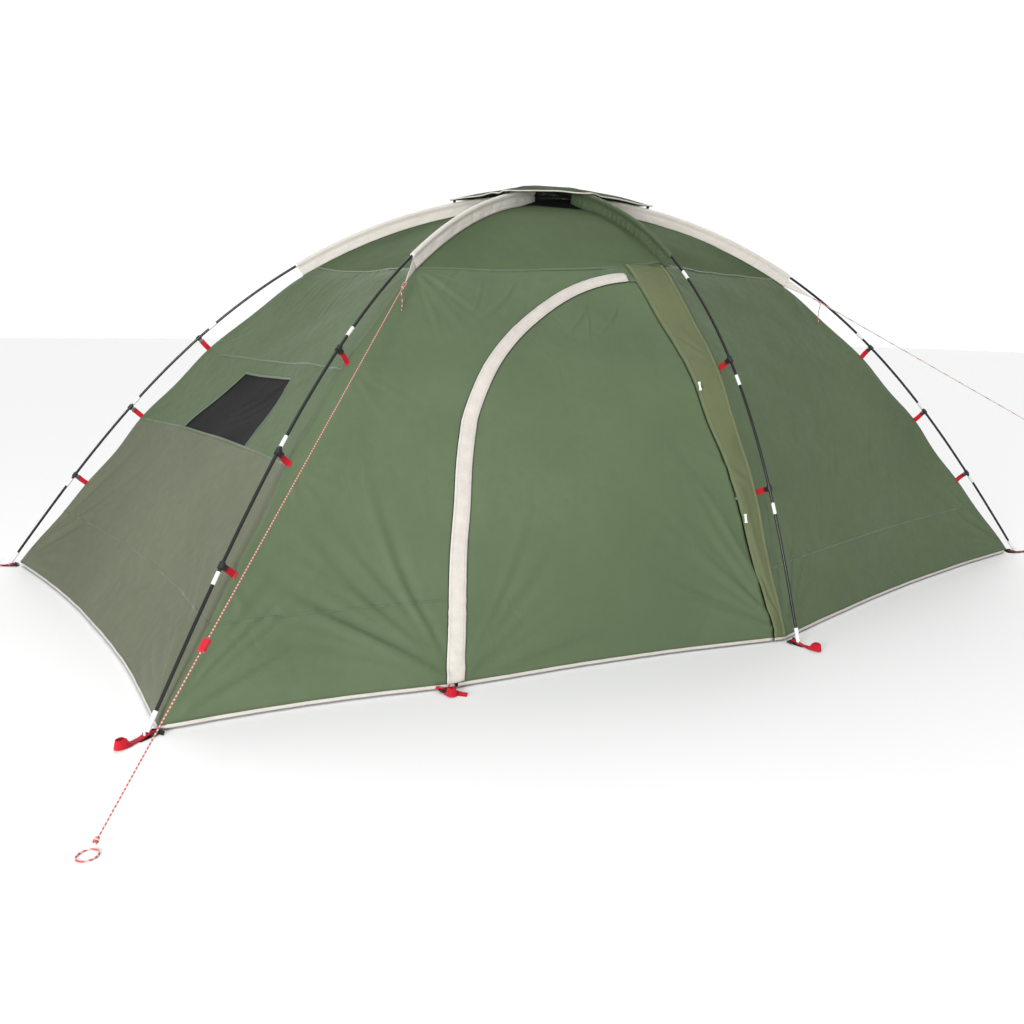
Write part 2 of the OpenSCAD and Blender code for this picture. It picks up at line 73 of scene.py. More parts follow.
# ---------------------------------------------------------------- shape of the tent, as in the CAD
HX, HY, HM = 1.9, 0.985, 1.345
RIDGE_H = 1.465
POLE_R = 0.00475
GAP_MID, GAP_TOP, GAP_LOW = 0.012, 0.045, 0.055
END_SAG, LONG_SAG = 0.060, 0.040
HEM_H = 0.014
SLEEVE_TO = (0.39, 0.39, 0.355, 0.39, 0.39, 0.355)
SLEEVE_FROM = 0.06
END_SEAM = 0.37
SEAM, LOW_SEAM_T = (END_SEAM, 0.39, 0.34, END_SEAM, END_SEAM, END_SEAM), 0.893
WITHIN = 0.99999  # keeps u = 1 on its own wall
UP = np.array([0, 0, 1.0])
CROWN_T = 0.10
FEET = np.array([[-HX, HY], [-HX, -HY], [0, -HM], [HX, -HY], [HX, HY], [0, HM]])
REACH = np.hypot(FEET[:, 0], FEET[:, 1])
MIDDLE = np.array([False, False, True, False, False, True])
OVER = np.array([0, 0.011, 0.022, 0, 0.011, 0.022])
LEG_LEN = np.where(MIDDLE, 2.14, 2.70)
CLIPS_LONG, CLIPS_SHORT = (0.565, 0.705, 0.833), (0.565, 0.77)
DOOR_TOP_T, DOOR_BEND_T, OPENING_TOP_T = 0.384, 0.65, 0.392
DOOR_LOW_U, DOOR_BEND_U, DOOR_RIGHT_U = 0.405, 0.34, 0.845
CLOTH = 0.0012
CAP_LONG, CAP_SHORT, CAP_H, CAP_BULGE = 0.15, 0.115, 0.0195, 0.012
FINE = 600


def bent_pole(bend):
    """Run and fall of a springy rod from its crossing to its foot, each scaled to 1."""
    slope = np.radians(bend) * np.sin(np.pi / 2 * (np.arange(FINE) + 0.5) / FINE)
    run = np.concatenate([[0], np.cumsum(np.cos(slope))])
    fall = np.concatenate([[0], np.cumsum(np.sin(slope))])
    return run / run[-1], fall / fall[-1]


CURVES = {False: bent_pole(53), True: bent_pole(72.5)}
S_KNOTS = np.linspace(0, 1, FINE + 1)


def smooth(x):
    c = np.clip(x, 0, 1)
    return c * c * (3 - 2 * c)


def leg_rz(i, s):
    run, fall = CURVES[bool(MIDDLE[i])]
    return REACH[i] * np.interp(s, S_KNOTS, run), RIDGE_H * (1 - np.interp(s, S_KNOTS, fall))


def leg_slope(i, s):
    s = np.asarray(s, float)
    r0, z0 = leg_rz(i, np.clip(s - 0.01, 0, 1))
    r1, z1 = leg_rz(i, np.clip(s + 0.01, 0, 1))
    return np.arctan2(z0 - z1, r1 - r0)


def out_dir(i):
    return np.array([FEET[i][0], FEET[i][1], 0]) / REACH[i]


def side_dir(i):
    o = out_dir(i)
    return np.array([-o[1], o[0], 0])


def leg(i, s, lift=0.0, side=0.0):
    s = np.asarray(s, float)
    r, z = leg_rz(i, s)
    a = leg_slope(i, s)
    lift, side = np.broadcast_to(lift, s.shape), np.broadcast_to(side, s.shape)
    return ((r + lift * np.sin(a))[..., None] * out_dir(i) + side[..., None] * side_dir(i)
            + (z + lift * np.cos(a))[..., None] * UP)


def pole_at(i, s, lift=0.0, side=0.0):
    s = np.asarray(s, float)
    over = OVER[i] * (1 - smooth(s / 0.2))
    return leg(i, s, lift, side) + over[..., None] * UP


def clips(i):
    return CLIPS_SHORT if MIDDLE[i] else CLIPS_LONG


def gap_over(s):
    return GAP_MID + (GAP_TOP - GAP_MID) * smooth(np.asarray(s, float) / 0.12)


def gap(i, s):
    return gap_over(s) + (GAP_LOW - GAP_TOP) * smooth((s - SLEEVE_TO[i]) / 0.18)


def seam(v):
    """Where the seam under the crown runs, with a slight dip between the legs."""
    w = np.asarray(v, float)
    k = np.minimum(np.floor(w), 5).astype(int)
    u = w - k
    ends = np.array(SEAM)
    return ends[k] * (1 - u) + ends[(k + 1) % 6] * u + 0.010 * 4 * u * (1 - u)


def scallop(i, s):
    """The cloth's edge draws in a little between one clip and the next."""
    stops = (SLEEVE_TO[i],) + clips(i) + (1.0,)
    total = np.zeros_like(s)
    for a, b in zip(stops[:-1], stops[1:]):
        inside = np.clip((s - a) / (b - a), 0, 1)
        total += 0.009 * np.sin(np.pi * inside) ** 2
    return total


def ridge(i, s, depth):
    s = np.asarray(s, float)
    g = gap(i, s) + depth + scallop(i, s)
    a = leg_slope(i, s)
    p = leg(i, s, -g)
    p[..., 2] += smooth((s - 0.8) / 0.2) * (g * np.cos(a) + HEM_H)
    return p


def wall_out(k):
    d = FEET[(k + 1) % 6] - FEET[k]
    return np.array([d[1], -d[0], 0]) / np.hypot(*d)


def sag(k, u, s):
    bow = 4 * u * (1 - u)
    if k in (0, 3):
        return END_SAG * s * bow
    if k == 1:
        low = np.where(u < DOOR_LOW_U, u / DOOR_LOW_U, (u - DOOR_LOW_U) / (1 - DOOR_LOW_U))
        return LONG_SAG * s * (1 - s ** 3) * bow + LONG_SAG * 0.6 * s ** 4 * np.abs(np.sin(np.pi * low))
    return LONG_SAG * s * bow


def flat_skin(k, u, s, depth=0.0):
    """A place on wall k of the cloth, before its folds: u across it, s down it."""
    u, s = np.broadcast_arrays(np.asarray(u, float), np.asarray(s, float))
    a, b = ridge(k, s, depth), ridge((k + 1) % 6, s, depth)
    return a * (1 - u)[..., None] + b * u[..., None] - wall_out(k) * sag(k, u, s)[..., None]


def wall_width(k, s):
    s = np.asarray(s, float)
    return np.linalg.norm(ridge(k, s, 0) - ridge((k + 1) % 6, s, 0), axis=-1)


# ---------------------------------------------------------------- folds in the cloth
def waves(x, y, length, seed, count=9):
    """Smooth uneven surface of about that wavelength, always the same for a seed."""
    rng = np.random.default_rng(seed)
    total = 0
    for _ in range(count):
        way, phase = rng.uniform(0, 2 * np.pi, 2)
        pace = 2 * np.pi / (length * rng.uniform(0.7, 1.5))
        total = total + np.sin(pace * (x * np.cos(way) + y * np.sin(way)) + phase)
    return total / math.sqrt(count / 2)


def cloth_xy(k, u, s):
    """Metres across and down the cut cloth."""
    u, s = np.asarray(u, float), np.asarray(s, float)
    long = LEG_LEN[k] * (1 - u) + LEG_LEN[(k + 1) % 6] * u
    return (u - 0.5) * wall_width(k, s), s * long


def creases(x, y, x0, y0, way_from, way_to, reach, count, tall, seed):
    """Long thin folds that spread from one pulled point; ways are degrees from straight up, to the right."""
    rng = np.random.default_rng(seed)
    dx, dy = x - x0, y - y0
    r = np.hypot(dx, dy)
    way = np.degrees(np.arctan2(dx, -dy))
    total = np.zeros_like(r)
    for n in range(count):
        mid = way_from + (way_to - way_from) * (n + rng.uniform(0.1, 0.9)) / count
        length = reach * rng.uniform(0.45, 1.0)
        high = tall * rng.uniform(0.45, 1.0)
        bend = rng.uniform(-14, 14)
        wide = 0.0075 + 0.016 * r + 0.003 * rng.uniform(-1, 1)
        off = r * np.radians(way - mid - bend * r)
        fold = np.exp(-(off / wide) ** 2) - 0.75 * np.exp(-((off - 1.7 * wide) / (1.2 * wide)) ** 2)
        along = smooth(r / 0.09) * (1 - smooth((r - 0.3 * length) / (0.7 * length)))
        total += high * along * fold
    return total


def slack(x, y, seed, count, high, spot, long, wide, tilt):
    """Short loose folds, scattered round a spot (x, y, half width, half height)."""
    rng = np.random.default_rng(seed)
    total = np.zeros_like(x)
    for _ in range(count):
        cx = spot[0] + spot[2] * rng.uniform(-1, 1)
        cy = spot[1] + spot[3] * rng.uniform(-1, 1)
        ang = np.radians(tilt + rng.uniform(-22, 22))
        dx, dy = x - cx, y - cy
        a = dx * np.cos(ang) - dy * np.sin(ang)
        b = dx * np.sin(ang) + dy * np.cos(ang) + 0.6 * a * a
        size = rng.uniform(0.6, 1.2)
        w = wide * size
        fold = np.exp(-(b / w) ** 2) - 0.6 * np.exp(-((b - 1.6 * w) / (1.2 * w)) ** 2)
        total += high * rng.uniform(0.4, 1.0) * np.exp(-(a / (long * size)) ** 2) * fold
    return total


def corner_folds(k, x, y, h):
    """Folds from the feet, the sleeve ends and the clips of wall k."""
    strong = (1.25, 0.0046) if k in (0, 3) else (0.95, 0.0036)
    for side, leg_no in ((0, k), (1, (k + 1) % 6)):
        turn = 1 if side == 0 else -1
        px, py = cloth_xy(k, side, 1.0)
        h = h + creases(x, y, px, py, turn * 16, turn * 50, strong[0], 10, strong[1], 40 * k + side)
        h = h + creases(x, y, px, py, turn * 46, turn * 84, 0.75, 12, 0.0034, 40 * k + 2 + side)
        px, py = cloth_xy(k, side, SLEEVE_TO[leg_no])
        h = h + creases(x, y, px, py, turn * 95, turn * 165, 0.42, 8, 0.0022, 40 * k + 4 + side)
        for n, t in enumerate(clips(leg_no)):
            px, py = cloth_xy(k, side, t)
            seed = 40 * k + 8 + 2 * n + side
            h = h + creases(x, y, px, py, turn * 40, turn * 165, 0.30, 7, 0.0022, seed)
    return h


def folds(k, u, s):
    """Height of the cloth over its plain shape, outwards, in metres."""
    x, y = cloth_xy(k, u, s)
    seed = 10 * k
    h = 0.0032 * waves(x, y, 0.75, seed + 1) + 0.0010 * waves(x, y, 0.24, seed + 2)
    h = corner_folds(k, x, y, h)
    wide, long = wall_width(k, np.array(0.9)), LEG_LEN[k]
    h = h + slack(x, y, seed + 5, 26, 0.0026, (0, 0.93 * long * 0.95, 0.42 * wide, 0.14), 0.11, 0.008, 18)
    h = h + slack(x, y, seed + 6, 22, 0.0018, (0, 0.72 * long, 0.36 * wide, 0.35), 0.10, 0.008, 40)
    h = h + slack(x, y, seed + 7, 14, 0.0016, (0, 0.42 * long, 0.20 * wide, 0.10), 0.09, 0.008, 80)
    if k == 1:
        px, py = cloth_xy(k, DOOR_LOW_U, 1.0)
        h = h + creases(x, y, px, py, -86, -35, 0.85, 12, 0.0040, seed + 8)
        h = h + creases(x, y, px, py, 22, 80, 0.85, 12, 0.0034, seed + 9)
    across = np.minimum(u, 1 - u) * wall_width(k, s)
    return 1.5 * h * smooth(across / 0.05) * (0.25 + 0.75 * smooth((1 - s) / 0.02))


def skin(k, u, s, depth=0.0):
    """A place on wall k of the cloth with its folds."""
    u, s = np.broadcast_arrays(np.asarray(u, float), np.asarray(s, float))
    p = flat_skin(k, u, s, depth)
    e = 0.004
    across = flat_skin(k, np.clip(u + e, 0, 1), s) - flat_skin(k, np.clip(u - e, 0, 1), s)
    down = flat_skin(k, u, np.clip(s + e, 0, 1)) - flat_skin(k, u, np.clip(s - e, 0, 1))
    n = np.cross(down, across)
    n = n / np.maximum(np.linalg.norm(n, axis=-1, keepdims=True), 1e-9)
    return p + n * folds(k, u, s)[..., None]


def around(v, s, depth=0.0):
    """As skin, with v counting the walls round the tent."""
    v, s = np.broadcast_arrays(np.asarray(v, float) % 6, np.asarray(s, float))
    out = np.zeros(v.shape + (3,))
    for k in range(6):
        here = np.floor(v).astype(int) == k
        if here.any():
            out[here] = skin(k, (v - k)[here], s[here], np.broadcast_to(depth, v.shape)[here])
    return out


def door_u(s):
    s = np.asarray(s, float)
    straight = DOOR_BEND_U + (DOOR_LOW_U - DOOR_BEND_U) * (s - DOOR_BEND_T) / (1 - DOOR_BEND_T)
    part = np.clip((DOOR_BEND_T - s) / (DOOR_BEND_T - DOOR_TOP_T), 0, 1)
    oval = DOOR_RIGHT_U - (DOOR_RIGHT_U - DOOR_BEND_U) * np.sqrt(1 - part ** 2)
    return np.where(s >= DOOR_BEND_T, straight, oval)


def strip_w(s):
    return 0.145 + (0.050 - 0.145) * (np.asarray(s, float) - 0.39) / 0.585


def hinge_u(s):
    return 1 - strip_w(s) / wall_width(1, s)


def edge_us(q):
    """Places on the door's zipped edge, from the hem at 0 to the top at 1."""
    q = np.asarray(q, float)
    a = np.radians((np.clip(q, 0.4, 1) - 0.4) / 0.6 * 88)
    f = np.clip(q / 0.4, 0, 1)
    u = np.where(q < 0.4, DOOR_LOW_U + (DOOR_BEND_U - DOOR_LOW_U) * f,
                 DOOR_RIGHT_U - (DOOR_RIGHT_U - DOOR_BEND_U) * np.cos(a))
    s = np.where(q < 0.4, 1 + (DOOR_BEND_T - 1) * f,
                 DOOR_BEND_T - (DOOR_BEND_T - DOOR_TOP_T) * np.sin(a))
    return u, s


def edge_place(q, into):
    """The place that lies a distance into the door from its edge."""
    q = np.asarray(q, float)
    u, s = edge_us(q)
    u1, s1 = edge_us(np.clip(q + 0.01, 0, 1))
    u0, s0 = edge_us(np.clip(q - 0.01, 0, 1))
    w, long = wall_width(1, s), 2.7
    tx, ty = (u1 - u0) * w, (s1 - s0) * long
    n = np.maximum(np.hypot(tx, ty), 1e-9)
    return u - ty / n * into / w, np.minimum(s + tx / n * into / long, 1)


# ---------------------------------------------------------------- mesh helpers
def add_object(name, data):
    obj = bpy.data.objects.new(name, data)
    bpy.context.scene.collection.objects.link(obj)
    return obj


def finish_piece(obj, material, body, replaces=(), shade=True):
    obj.data.materials.append(material)
    if shade and obj.type == "MESH":
        for p in obj.data.polygons:
            p.use_smooth = True
    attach(obj, body)
    if replaces:
        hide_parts(*replaces)
    return obj


def grid_mesh(name, pts, uv=None, wrap=False, hole=None):
    """A sheet over a grid of points; hole(i, j) leaves cells out."""
    rows, cols = pts.shape[:2]
    wide = cols if wrap else cols - 1
    faces, corners = [], []
    for i in range(rows - 1):
        for j in range(wide):
            if hole is not None and hole(i, j):
                continue
            j1 = (j + 1) % cols
            faces.append((i * cols + j, (i + 1) * cols + j, (i + 1) * cols + j1, i * cols + j1))
            corners.append(((i, j), (i + 1, j), (i + 1, j + 1), (i, j + 1)))
    mesh = bpy.data.meshes.new(name)
    mesh.from_pydata(pts.reshape(-1, 3).tolist(), [], faces)
    if uv is not None:
        layer = mesh.uv_layers.new(name="cloth")
        flat = [uv[min(i, rows - 1), min(j, uv.shape[1] - 1)] for quad in corners for i, j in quad]
        layer.data.foreach_set("uv", np.array(flat, float).ravel())
    bm = bmesh.new()
    bm.from_mesh(mesh)
    loose = [v for v in bm.verts if not v.link_faces]
    bmesh.ops.delete(bm, geom=loose, context="VERTS")
    bm.to_mesh(mesh)
    bm.free()
    return add_object(name, mesh)


def thicken(obj, thick, offset=-1.0):
    mod = obj.modifiers.new("thick", "SOLIDIFY")
    mod.thickness = thick
    mod.offset = offset
    return obj


def apply_modifiers(obj):
    deps = bpy.context.evaluated_depsgraph_get()
    mesh = bpy.data.meshes.new_from_object(obj.evaluated_get(deps))
    obj.modifiers.clear()
    obj.data = mesh
    return obj


def norm_rows(v):
    return v / np.maximum(np.linalg.norm(v, axis=-1, keepdims=True), 1e-9)


def ribbon_parts(line, normal, width, thick, bulge=0.0, edges=5):
    """Points of a flat closed strap along a line; width and normal may change along it."""
    line = np.asarray(line, float)
    ahead = norm_rows(np.gradient(line, axis=0))
    normal = norm_rows(np.broadcast_to(np.asarray(normal, float), line.shape))
    across = norm_rows(np.cross(normal, ahead))
    normal = np.cross(ahead, across)
    width = np.broadcast_to(np.asarray(width, float), (len(line),))
    x = np.linspace(-1, 1, edges)
    top = [(a, 0.5 * (1 - 0.55 * abs(a) ** 6) + bulge * (1 - a * a) / max(thick, 1e-6)) for a in x]
    low = [(a, -0.5 * (1 - 0.55 * abs(a) ** 6) + bulge * (1 - a * a) / max(thick, 1e-6)) for a in x[::-1]]
    ring = top + low
    pts = np.stack([line + across * (a * width / 2)[:, None] + normal * (b * thick) for a, b in ring], 1)
    return pts


def loft(name, pts, closed=False):
    """A closed skin over rings of points, with its ends filled."""
    rows, n = pts.shape[:2]
    verts = pts.reshape(-1, 3).tolist()
    faces = []
    last = rows if closed else rows - 1
    for i in range(last):
        for j in range(n):
            a, b = i * n + j, i * n + (j + 1) % n
            c, d = ((i + 1) % rows) * n + (j + 1) % n, ((i + 1) % rows) * n + j
            faces.append((a, b, c, d))
    if not closed:
        faces.append(tuple(range(n - 1, -1, -1)))
        faces.append(tuple(range((rows - 1) * n, rows * n)))
    mesh = bpy.data.meshes.new(name)
    mesh.from_pydata(verts, [], faces)
    layer = mesh.uv_layers.new(name="cloth")
    dist = np.concatenate([[0], np.cumsum(np.linalg.norm(np.diff(pts.mean(1), axis=0), axis=-1))])
    half = n // 2
    across = [(j / (half - 1) if j < half else (n - 1 - j) / (half - 1)) if half > 1 else 0 for j in range(n)]
    for poly in mesh.polygons:
        for li in poly.loop_indices:
            vi = mesh.loops[li].vertex_index
            layer.data[li].uv = (dist[min(vi // n, rows - 1)], across[vi % n])
    mesh.validate()
    bm = bmesh.new()
    bm.from_mesh(mesh)
    bmesh.ops.recalc_face_normals(bm, faces=bm.faces)
    bm.to_mesh(mesh)
    bm.free()
    return add_object(name, mesh)


def ribbon(name, line, normal, width, thick, **kw):
    return loft(name, ribbon_parts(line, normal, width, thick, **kw))


def tube_points(line, radius, sides=12, flat=1.0, up=(0, 0, 1)):
    line = np.asarray(line, float)
    ahead = norm_rows(np.gradient(line, axis=0))
    side = norm_rows(np.cross(np.broadcast_to(np.asarray(up, float), line.shape), ahead))
    over = np.cross(ahead, side)
    radius = np.broadcast_to(np.asarray(radius, float), (len(line),))
    a = np.linspace(0, 2 * np.pi, sides, endpoint=False)
    return (line[:, None] + side[:, None] * (np.cos(a)[None, :, None] * radius[:, None, None])
            + over[:, None] * (np.sin(a)[None, :, None] * radius[:, None, None] * flat))


def join(name, objs):
    """One object from several, kept in their places."""
    bm = bmesh.new()
    mats = []
    for o in objs:
        start = len(bm.faces)
        mesh = o.data.copy()
        mesh.transform(o.matrix_world)
        bm.from_mesh(mesh)
        bm.faces.ensure_lookup_table()
        own = o.data.materials[0] if o.data.materials else None
        if own not in mats:
            mats.append(own)
        for f in bm.faces[start:]:
            f.material_index = mats.index(own)
        bpy.data.meshes.remove(mesh)
    out = bpy.data.meshes.new(name)
    bm.to_mesh(out)
    bm.free()
    for m in mats:
        if m:
            out.materials.append(m)
    for o in objs:
        bpy.data.objects.remove(o)
    return add_object(name, out)


# ---------------------------------------------------------------- materials
SOCKETS = {
    "color": "Base Color", "rough": "Roughness", "specular": "Specular IOR Level", "metallic": "Metallic",
    "sheen": "Sheen Weight", "sheen_rough": "Sheen Roughness", "sheen_tint": "Sheen Tint",
    "coat": "Coat Weight", "coat_rough": "Coat Roughness",
}


class Nodes:
    """Short calls for building one material's nodes."""

    def __init__(self, name):
        self.mat = bpy.data.materials.new(name)
        self.mat.use_nodes = True
        self.tree = self.mat.node_tree
        self.bsdf = self.tree.nodes["Principled BSDF"]

    def add(self, kind, **values):
        node = self.tree.nodes.new(kind)
        for key, value in values.items():
            if hasattr(node, key) and key not in node.inputs:
                setattr(node, key, value)
            else:
                node.inputs[key].default_value = value
        return node

    def surface(self, **values):
        """Values that are the same all over, on the shader's own sockets."""
        for key, value in values.items():
            self.bsdf.inputs[SOCKETS[key]].default_value = value

    def link(self, a, b):
        self.tree.links.new(a, b)

    def math(self, operation, a, b=None, c=None):
        node = self.tree.nodes.new("ShaderNodeMath")
        node.operation = operation
        for i, value in enumerate((a, b, c)):
            if value is None:
                continue
            if isinstance(value, (int, float)):
                node.inputs[i].default_value = value
            else:
                self.link(value, node.inputs[i])
        return node.outputs[0]

    def mix(self, factor, a, b):
        node = self.tree.nodes.new("ShaderNodeMix")
        node.data_type = "RGBA"
        for socket, value in ((node.inputs[0], factor), (node.inputs[6], a), (node.inputs[7], b)):
            if hasattr(value, "default_value") or hasattr(value, "links"):
                self.link(value, socket)
            else:
                socket.default_value = value if isinstance(value, (int, float)) else (*value, 1)
        return node.outputs[2]

    def noise(self, scale, detail=3.0, coords="Object", rough=0.5, stretch=None):
        where = self.add("ShaderNodeTexCoord").outputs[coords]
        if stretch:
            mapping = self.add("ShaderNodeMapping")
            mapping.inputs["Scale"].default_value = stretch
            self.link(where, mapping.inputs["Vector"])
            where = mapping.outputs["Vector"]
        node = self.add("ShaderNodeTexNoise", Scale=scale, Detail=detail, Roughness=rough)
        self.link(where, node.inputs["Vector"])
        return node.outputs["Fac"]

    def ramp(self, value, low, high):
        node = self.tree.nodes.new("ShaderNodeMapRange")
        node.inputs["From Min"].default_value = low
        node.inputs["From Max"].default_value = high
        self.link(value, node.inputs["Value"])
        return node.outputs["Result"]

    def bump(self, heights):
        """heights is a list of (value, strength, distance)."""
        last = None
        for value, strength, distance in heights:
            node = self.add("ShaderNodeBump", Strength=strength, Distance=distance)
            self.link(value, node.inputs["Height"])
            if last is not None:
                self.link(last, node.inputs["Normal"])
            last = node.outputs["Normal"]
        self.link(last, self.bsdf.inputs["Normal"])

    def uv(self):
        node = self.add("ShaderNodeUVMap")
        node.uv_map = "cloth"
        parts = self.add("ShaderNodeSeparateXYZ")
        self.link(node.outputs["UV"], parts.inputs[0])
        return parts.outputs["X"], parts.outputs["Y"]

    def lines(self, value, pitch, width):
        """1 on thin lines a pitch apart, and 0 between them."""
        far = self.math("PINGPONG", value, pitch / 2)
        return self.ramp(far, width, 0.0)


def weave_height(n, pitch, coords="Object"):
    """Threads over and under, a pitch apart, on all three axes so that it needs no unwrapping."""
    where = n.add("ShaderNodeTexCoord").outputs[coords]
    parts = n.add("ShaderNodeSeparateXYZ")
    n.link(where, parts.inputs[0])
    w = 2 * math.pi / pitch
    waves3 = [n.math("SINE", n.math("MULTIPLY", parts.outputs[a], w)) for a in "XYZ"]
    return n.math("ADD", n.math("MULTIPLY", waves3[0], waves3[1]), n.math("MULTIPLY", waves3[1], waves3[2]))


def cloth_material(name, color, dark=0.90, light=1.08, rough=0.58, crinkle=0.35, weave=0.0011, sheen=0.05,
                   specular=0.20):
    n = Nodes(name)
    big = n.ramp(n.noise(1.6, 4.0, rough=0.55), 0.32, 0.68)
    small = n.ramp(n.noise(26.0, 4.0, rough=0.6), 0.3, 0.7)
    base = n.mix(big, [c * dark for c in color], [c * light for c in color])
    base = n.mix(n.math("MULTIPLY", small, 0.25), base, [c * 0.82 for c in color])
    n.link(base, n.bsdf.inputs["Base Color"])
    n.link(n.math("ADD", n.math("MULTIPLY", small, 0.12), rough - 0.06), n.bsdf.inputs["Roughness"])
    n.surface(specular=specular, sheen=sheen, sheen_rough=0.45,
              sheen_tint=(*[min(1, c * 2.2 + 0.1) for c in color], 1))
    patches = n.ramp(n.noise(2.6, 2.0), 0.46, 0.66)
    ridges = n.noise(7.0, 3.0, rough=0.5, stretch=(1.0, 1.0, 0.45))
    crease = n.math("ABSOLUTE", n.math("SUBTRACT", ridges, 0.5))
    crease = n.math("MULTIPLY", n.ramp(crease, 0.0, 0.05), patches)
    crumple = n.noise(9.0, 6.0, rough=0.58)
    n.bump([(crumple, crinkle, 0.008), (crease, crinkle, 0.0022), (weave_height(n, weave), 0.25, 0.00012)])
    return n.mat


def webbing_material(name, color, rough=0.7):
    n = Nodes(name)
    along, across = n.uv()
    ribs = n.math("SINE", n.math("MULTIPLY", along, 2 * math.pi / 0.0016))
    cross = n.math("SINE", n.math("MULTIPLY", across, 2 * math.pi * 9))
    height = n.math("MULTIPLY", ribs, cross)
    # Painted shade and light: the colour follows the weave's bump height, darker in its hollows and lighter
    # on its raised ribs.
    tone = n.ramp(height, -1, 1)
    base = n.mix(tone, [c * 0.72 for c in color], [min(1, c * 1.15) for c in color])
    base = n.mix(n.math("MULTIPLY", n.noise(60, 3), 0.4), base, [c * 0.6 for c in color])
    n.link(base, n.bsdf.inputs["Base Color"])
    n.surface(rough=rough, sheen=0.06, specular=0.25)
    n.bump([(height, 0.6, 0.0005), (n.noise(150, 3), 0.2, 0.0004)])
    return n.mat


def stitched_material(name, color):
    """Folded tape with a line of stitches near each edge."""
    n = Nodes(name)
    along, across = n.uv()
    stitch = n.ramp(n.math("PINGPONG", along, 0.0022), 0.0004, 0.0010)
    from_middle = n.math("ABSOLUTE", n.math("SUBTRACT", across, 0.5))
    edge = n.ramp(n.math("ABSOLUTE", n.math("SUBTRACT", from_middle, 0.36)), 0.045, 0.02)
    thread = n.math("MULTIPLY", stitch, edge)
    tone = n.ramp(n.noise(30, 4, rough=0.6), 0.3, 0.7)
    base = n.mix(tone, [c * 0.90 for c in color], [min(1, c * 1.04) for c in color])
    base = n.mix(n.math("MULTIPLY", thread, 0.55), base, [c * 0.62 for c in color])
    n.link(base, n.bsdf.inputs["Base Color"])
    n.surface(rough=0.68, sheen=0.2, specular=0.3)
    n.bump([(edge, -0.5, 0.0006), (n.noise(40, 5, rough=0.6), 0.35, 0.004),
            (weave_height(n, 0.0011), 0.25, 0.00012)])
    return n.mat


CORD_TURN, FLECK_EDGE = 0.0045, 0.0006


def cord_material(name, color, fleck, share):
    """Braided cord with flecks of the second colour."""
    n = Nodes(name)
    where = n.add("ShaderNodeTexCoord").outputs["Object"]
    parts = n.add("ShaderNodeSeparateXYZ")
    n.link(where, parts.inputs[0])
    run = n.math("SUBTRACT", n.math("MULTIPLY", parts.outputs["X"], 0.62),
                 n.math("MULTIPLY", parts.outputs["Z"], -0.58))
    run = n.math("ADD", run, n.math("MULTIPLY", parts.outputs["Y"], 0.5))
    turn = CORD_TURN * (1 - share)
    dash = n.ramp(n.math("PINGPONG", run, CORD_TURN), turn - FLECK_EDGE, turn + FLECK_EDGE)
    base = n.mix(dash, color, fleck)
    base = n.mix(n.math("MULTIPLY", n.noise(420, 2), 0.35), base, [c * 0.7 for c in color])
    n.link(base, n.bsdf.inputs["Base Color"])
    n.surface(rough=0.6)
    twist = n.math("SINE", n.math("MULTIPLY", run, 2 * math.pi / 0.003))
    n.bump([(twist, 0.5, 0.0004)])
    return n.mat


def hard_material(name, color, rough, metallic=0.0, coat=0.0, wear=0.25, grain=300.0):
    n = Nodes(name)
    tone = n.ramp(n.noise(grain, 4, rough=0.6), 0.3, 0.75)
    base = n.mix(n.math("MULTIPLY", tone, wear), color, [min(1, c * 1.5 + 0.02) for c in color])
    n.link(base, n.bsdf.inputs["Base Color"])
    n.link(n.math("ADD", n.math("MULTIPLY", tone, 0.12), rough - 0.05), n.bsdf.inputs["Roughness"])
    n.surface(metallic=metallic, coat=coat, coat_rough=0.15)
    n.bump([(n.noise(grain * 2, 3), 0.12, 0.0002)])
    return n.mat


def mesh_material(name, color):
    """Dense no-see-um netting or dark window cloth."""
    n = Nodes(name)
    h = weave_height(n, 0.0022)
    # Painted shade and light: the colour follows the weave's bump height, darker in its hollows and lighter
    # on its raised threads.
    base = n.mix(n.ramp(h, -1, 1), [c * 0.6 for c in color], [c * 1.7 + 0.004 for c in color])
    base = n.mix(n.math("MULTIPLY", n.noise(14, 4), 0.3), base, [c * 1.3 for c in color])
    n.link(base, n.bsdf.inputs["Base Color"])
    n.surface(rough=0.75, specular=0.25)
    n.bump([(h, 0.5, 0.0004), (n.noise(12, 4), 0.4, 0.006)])
    return n.mat


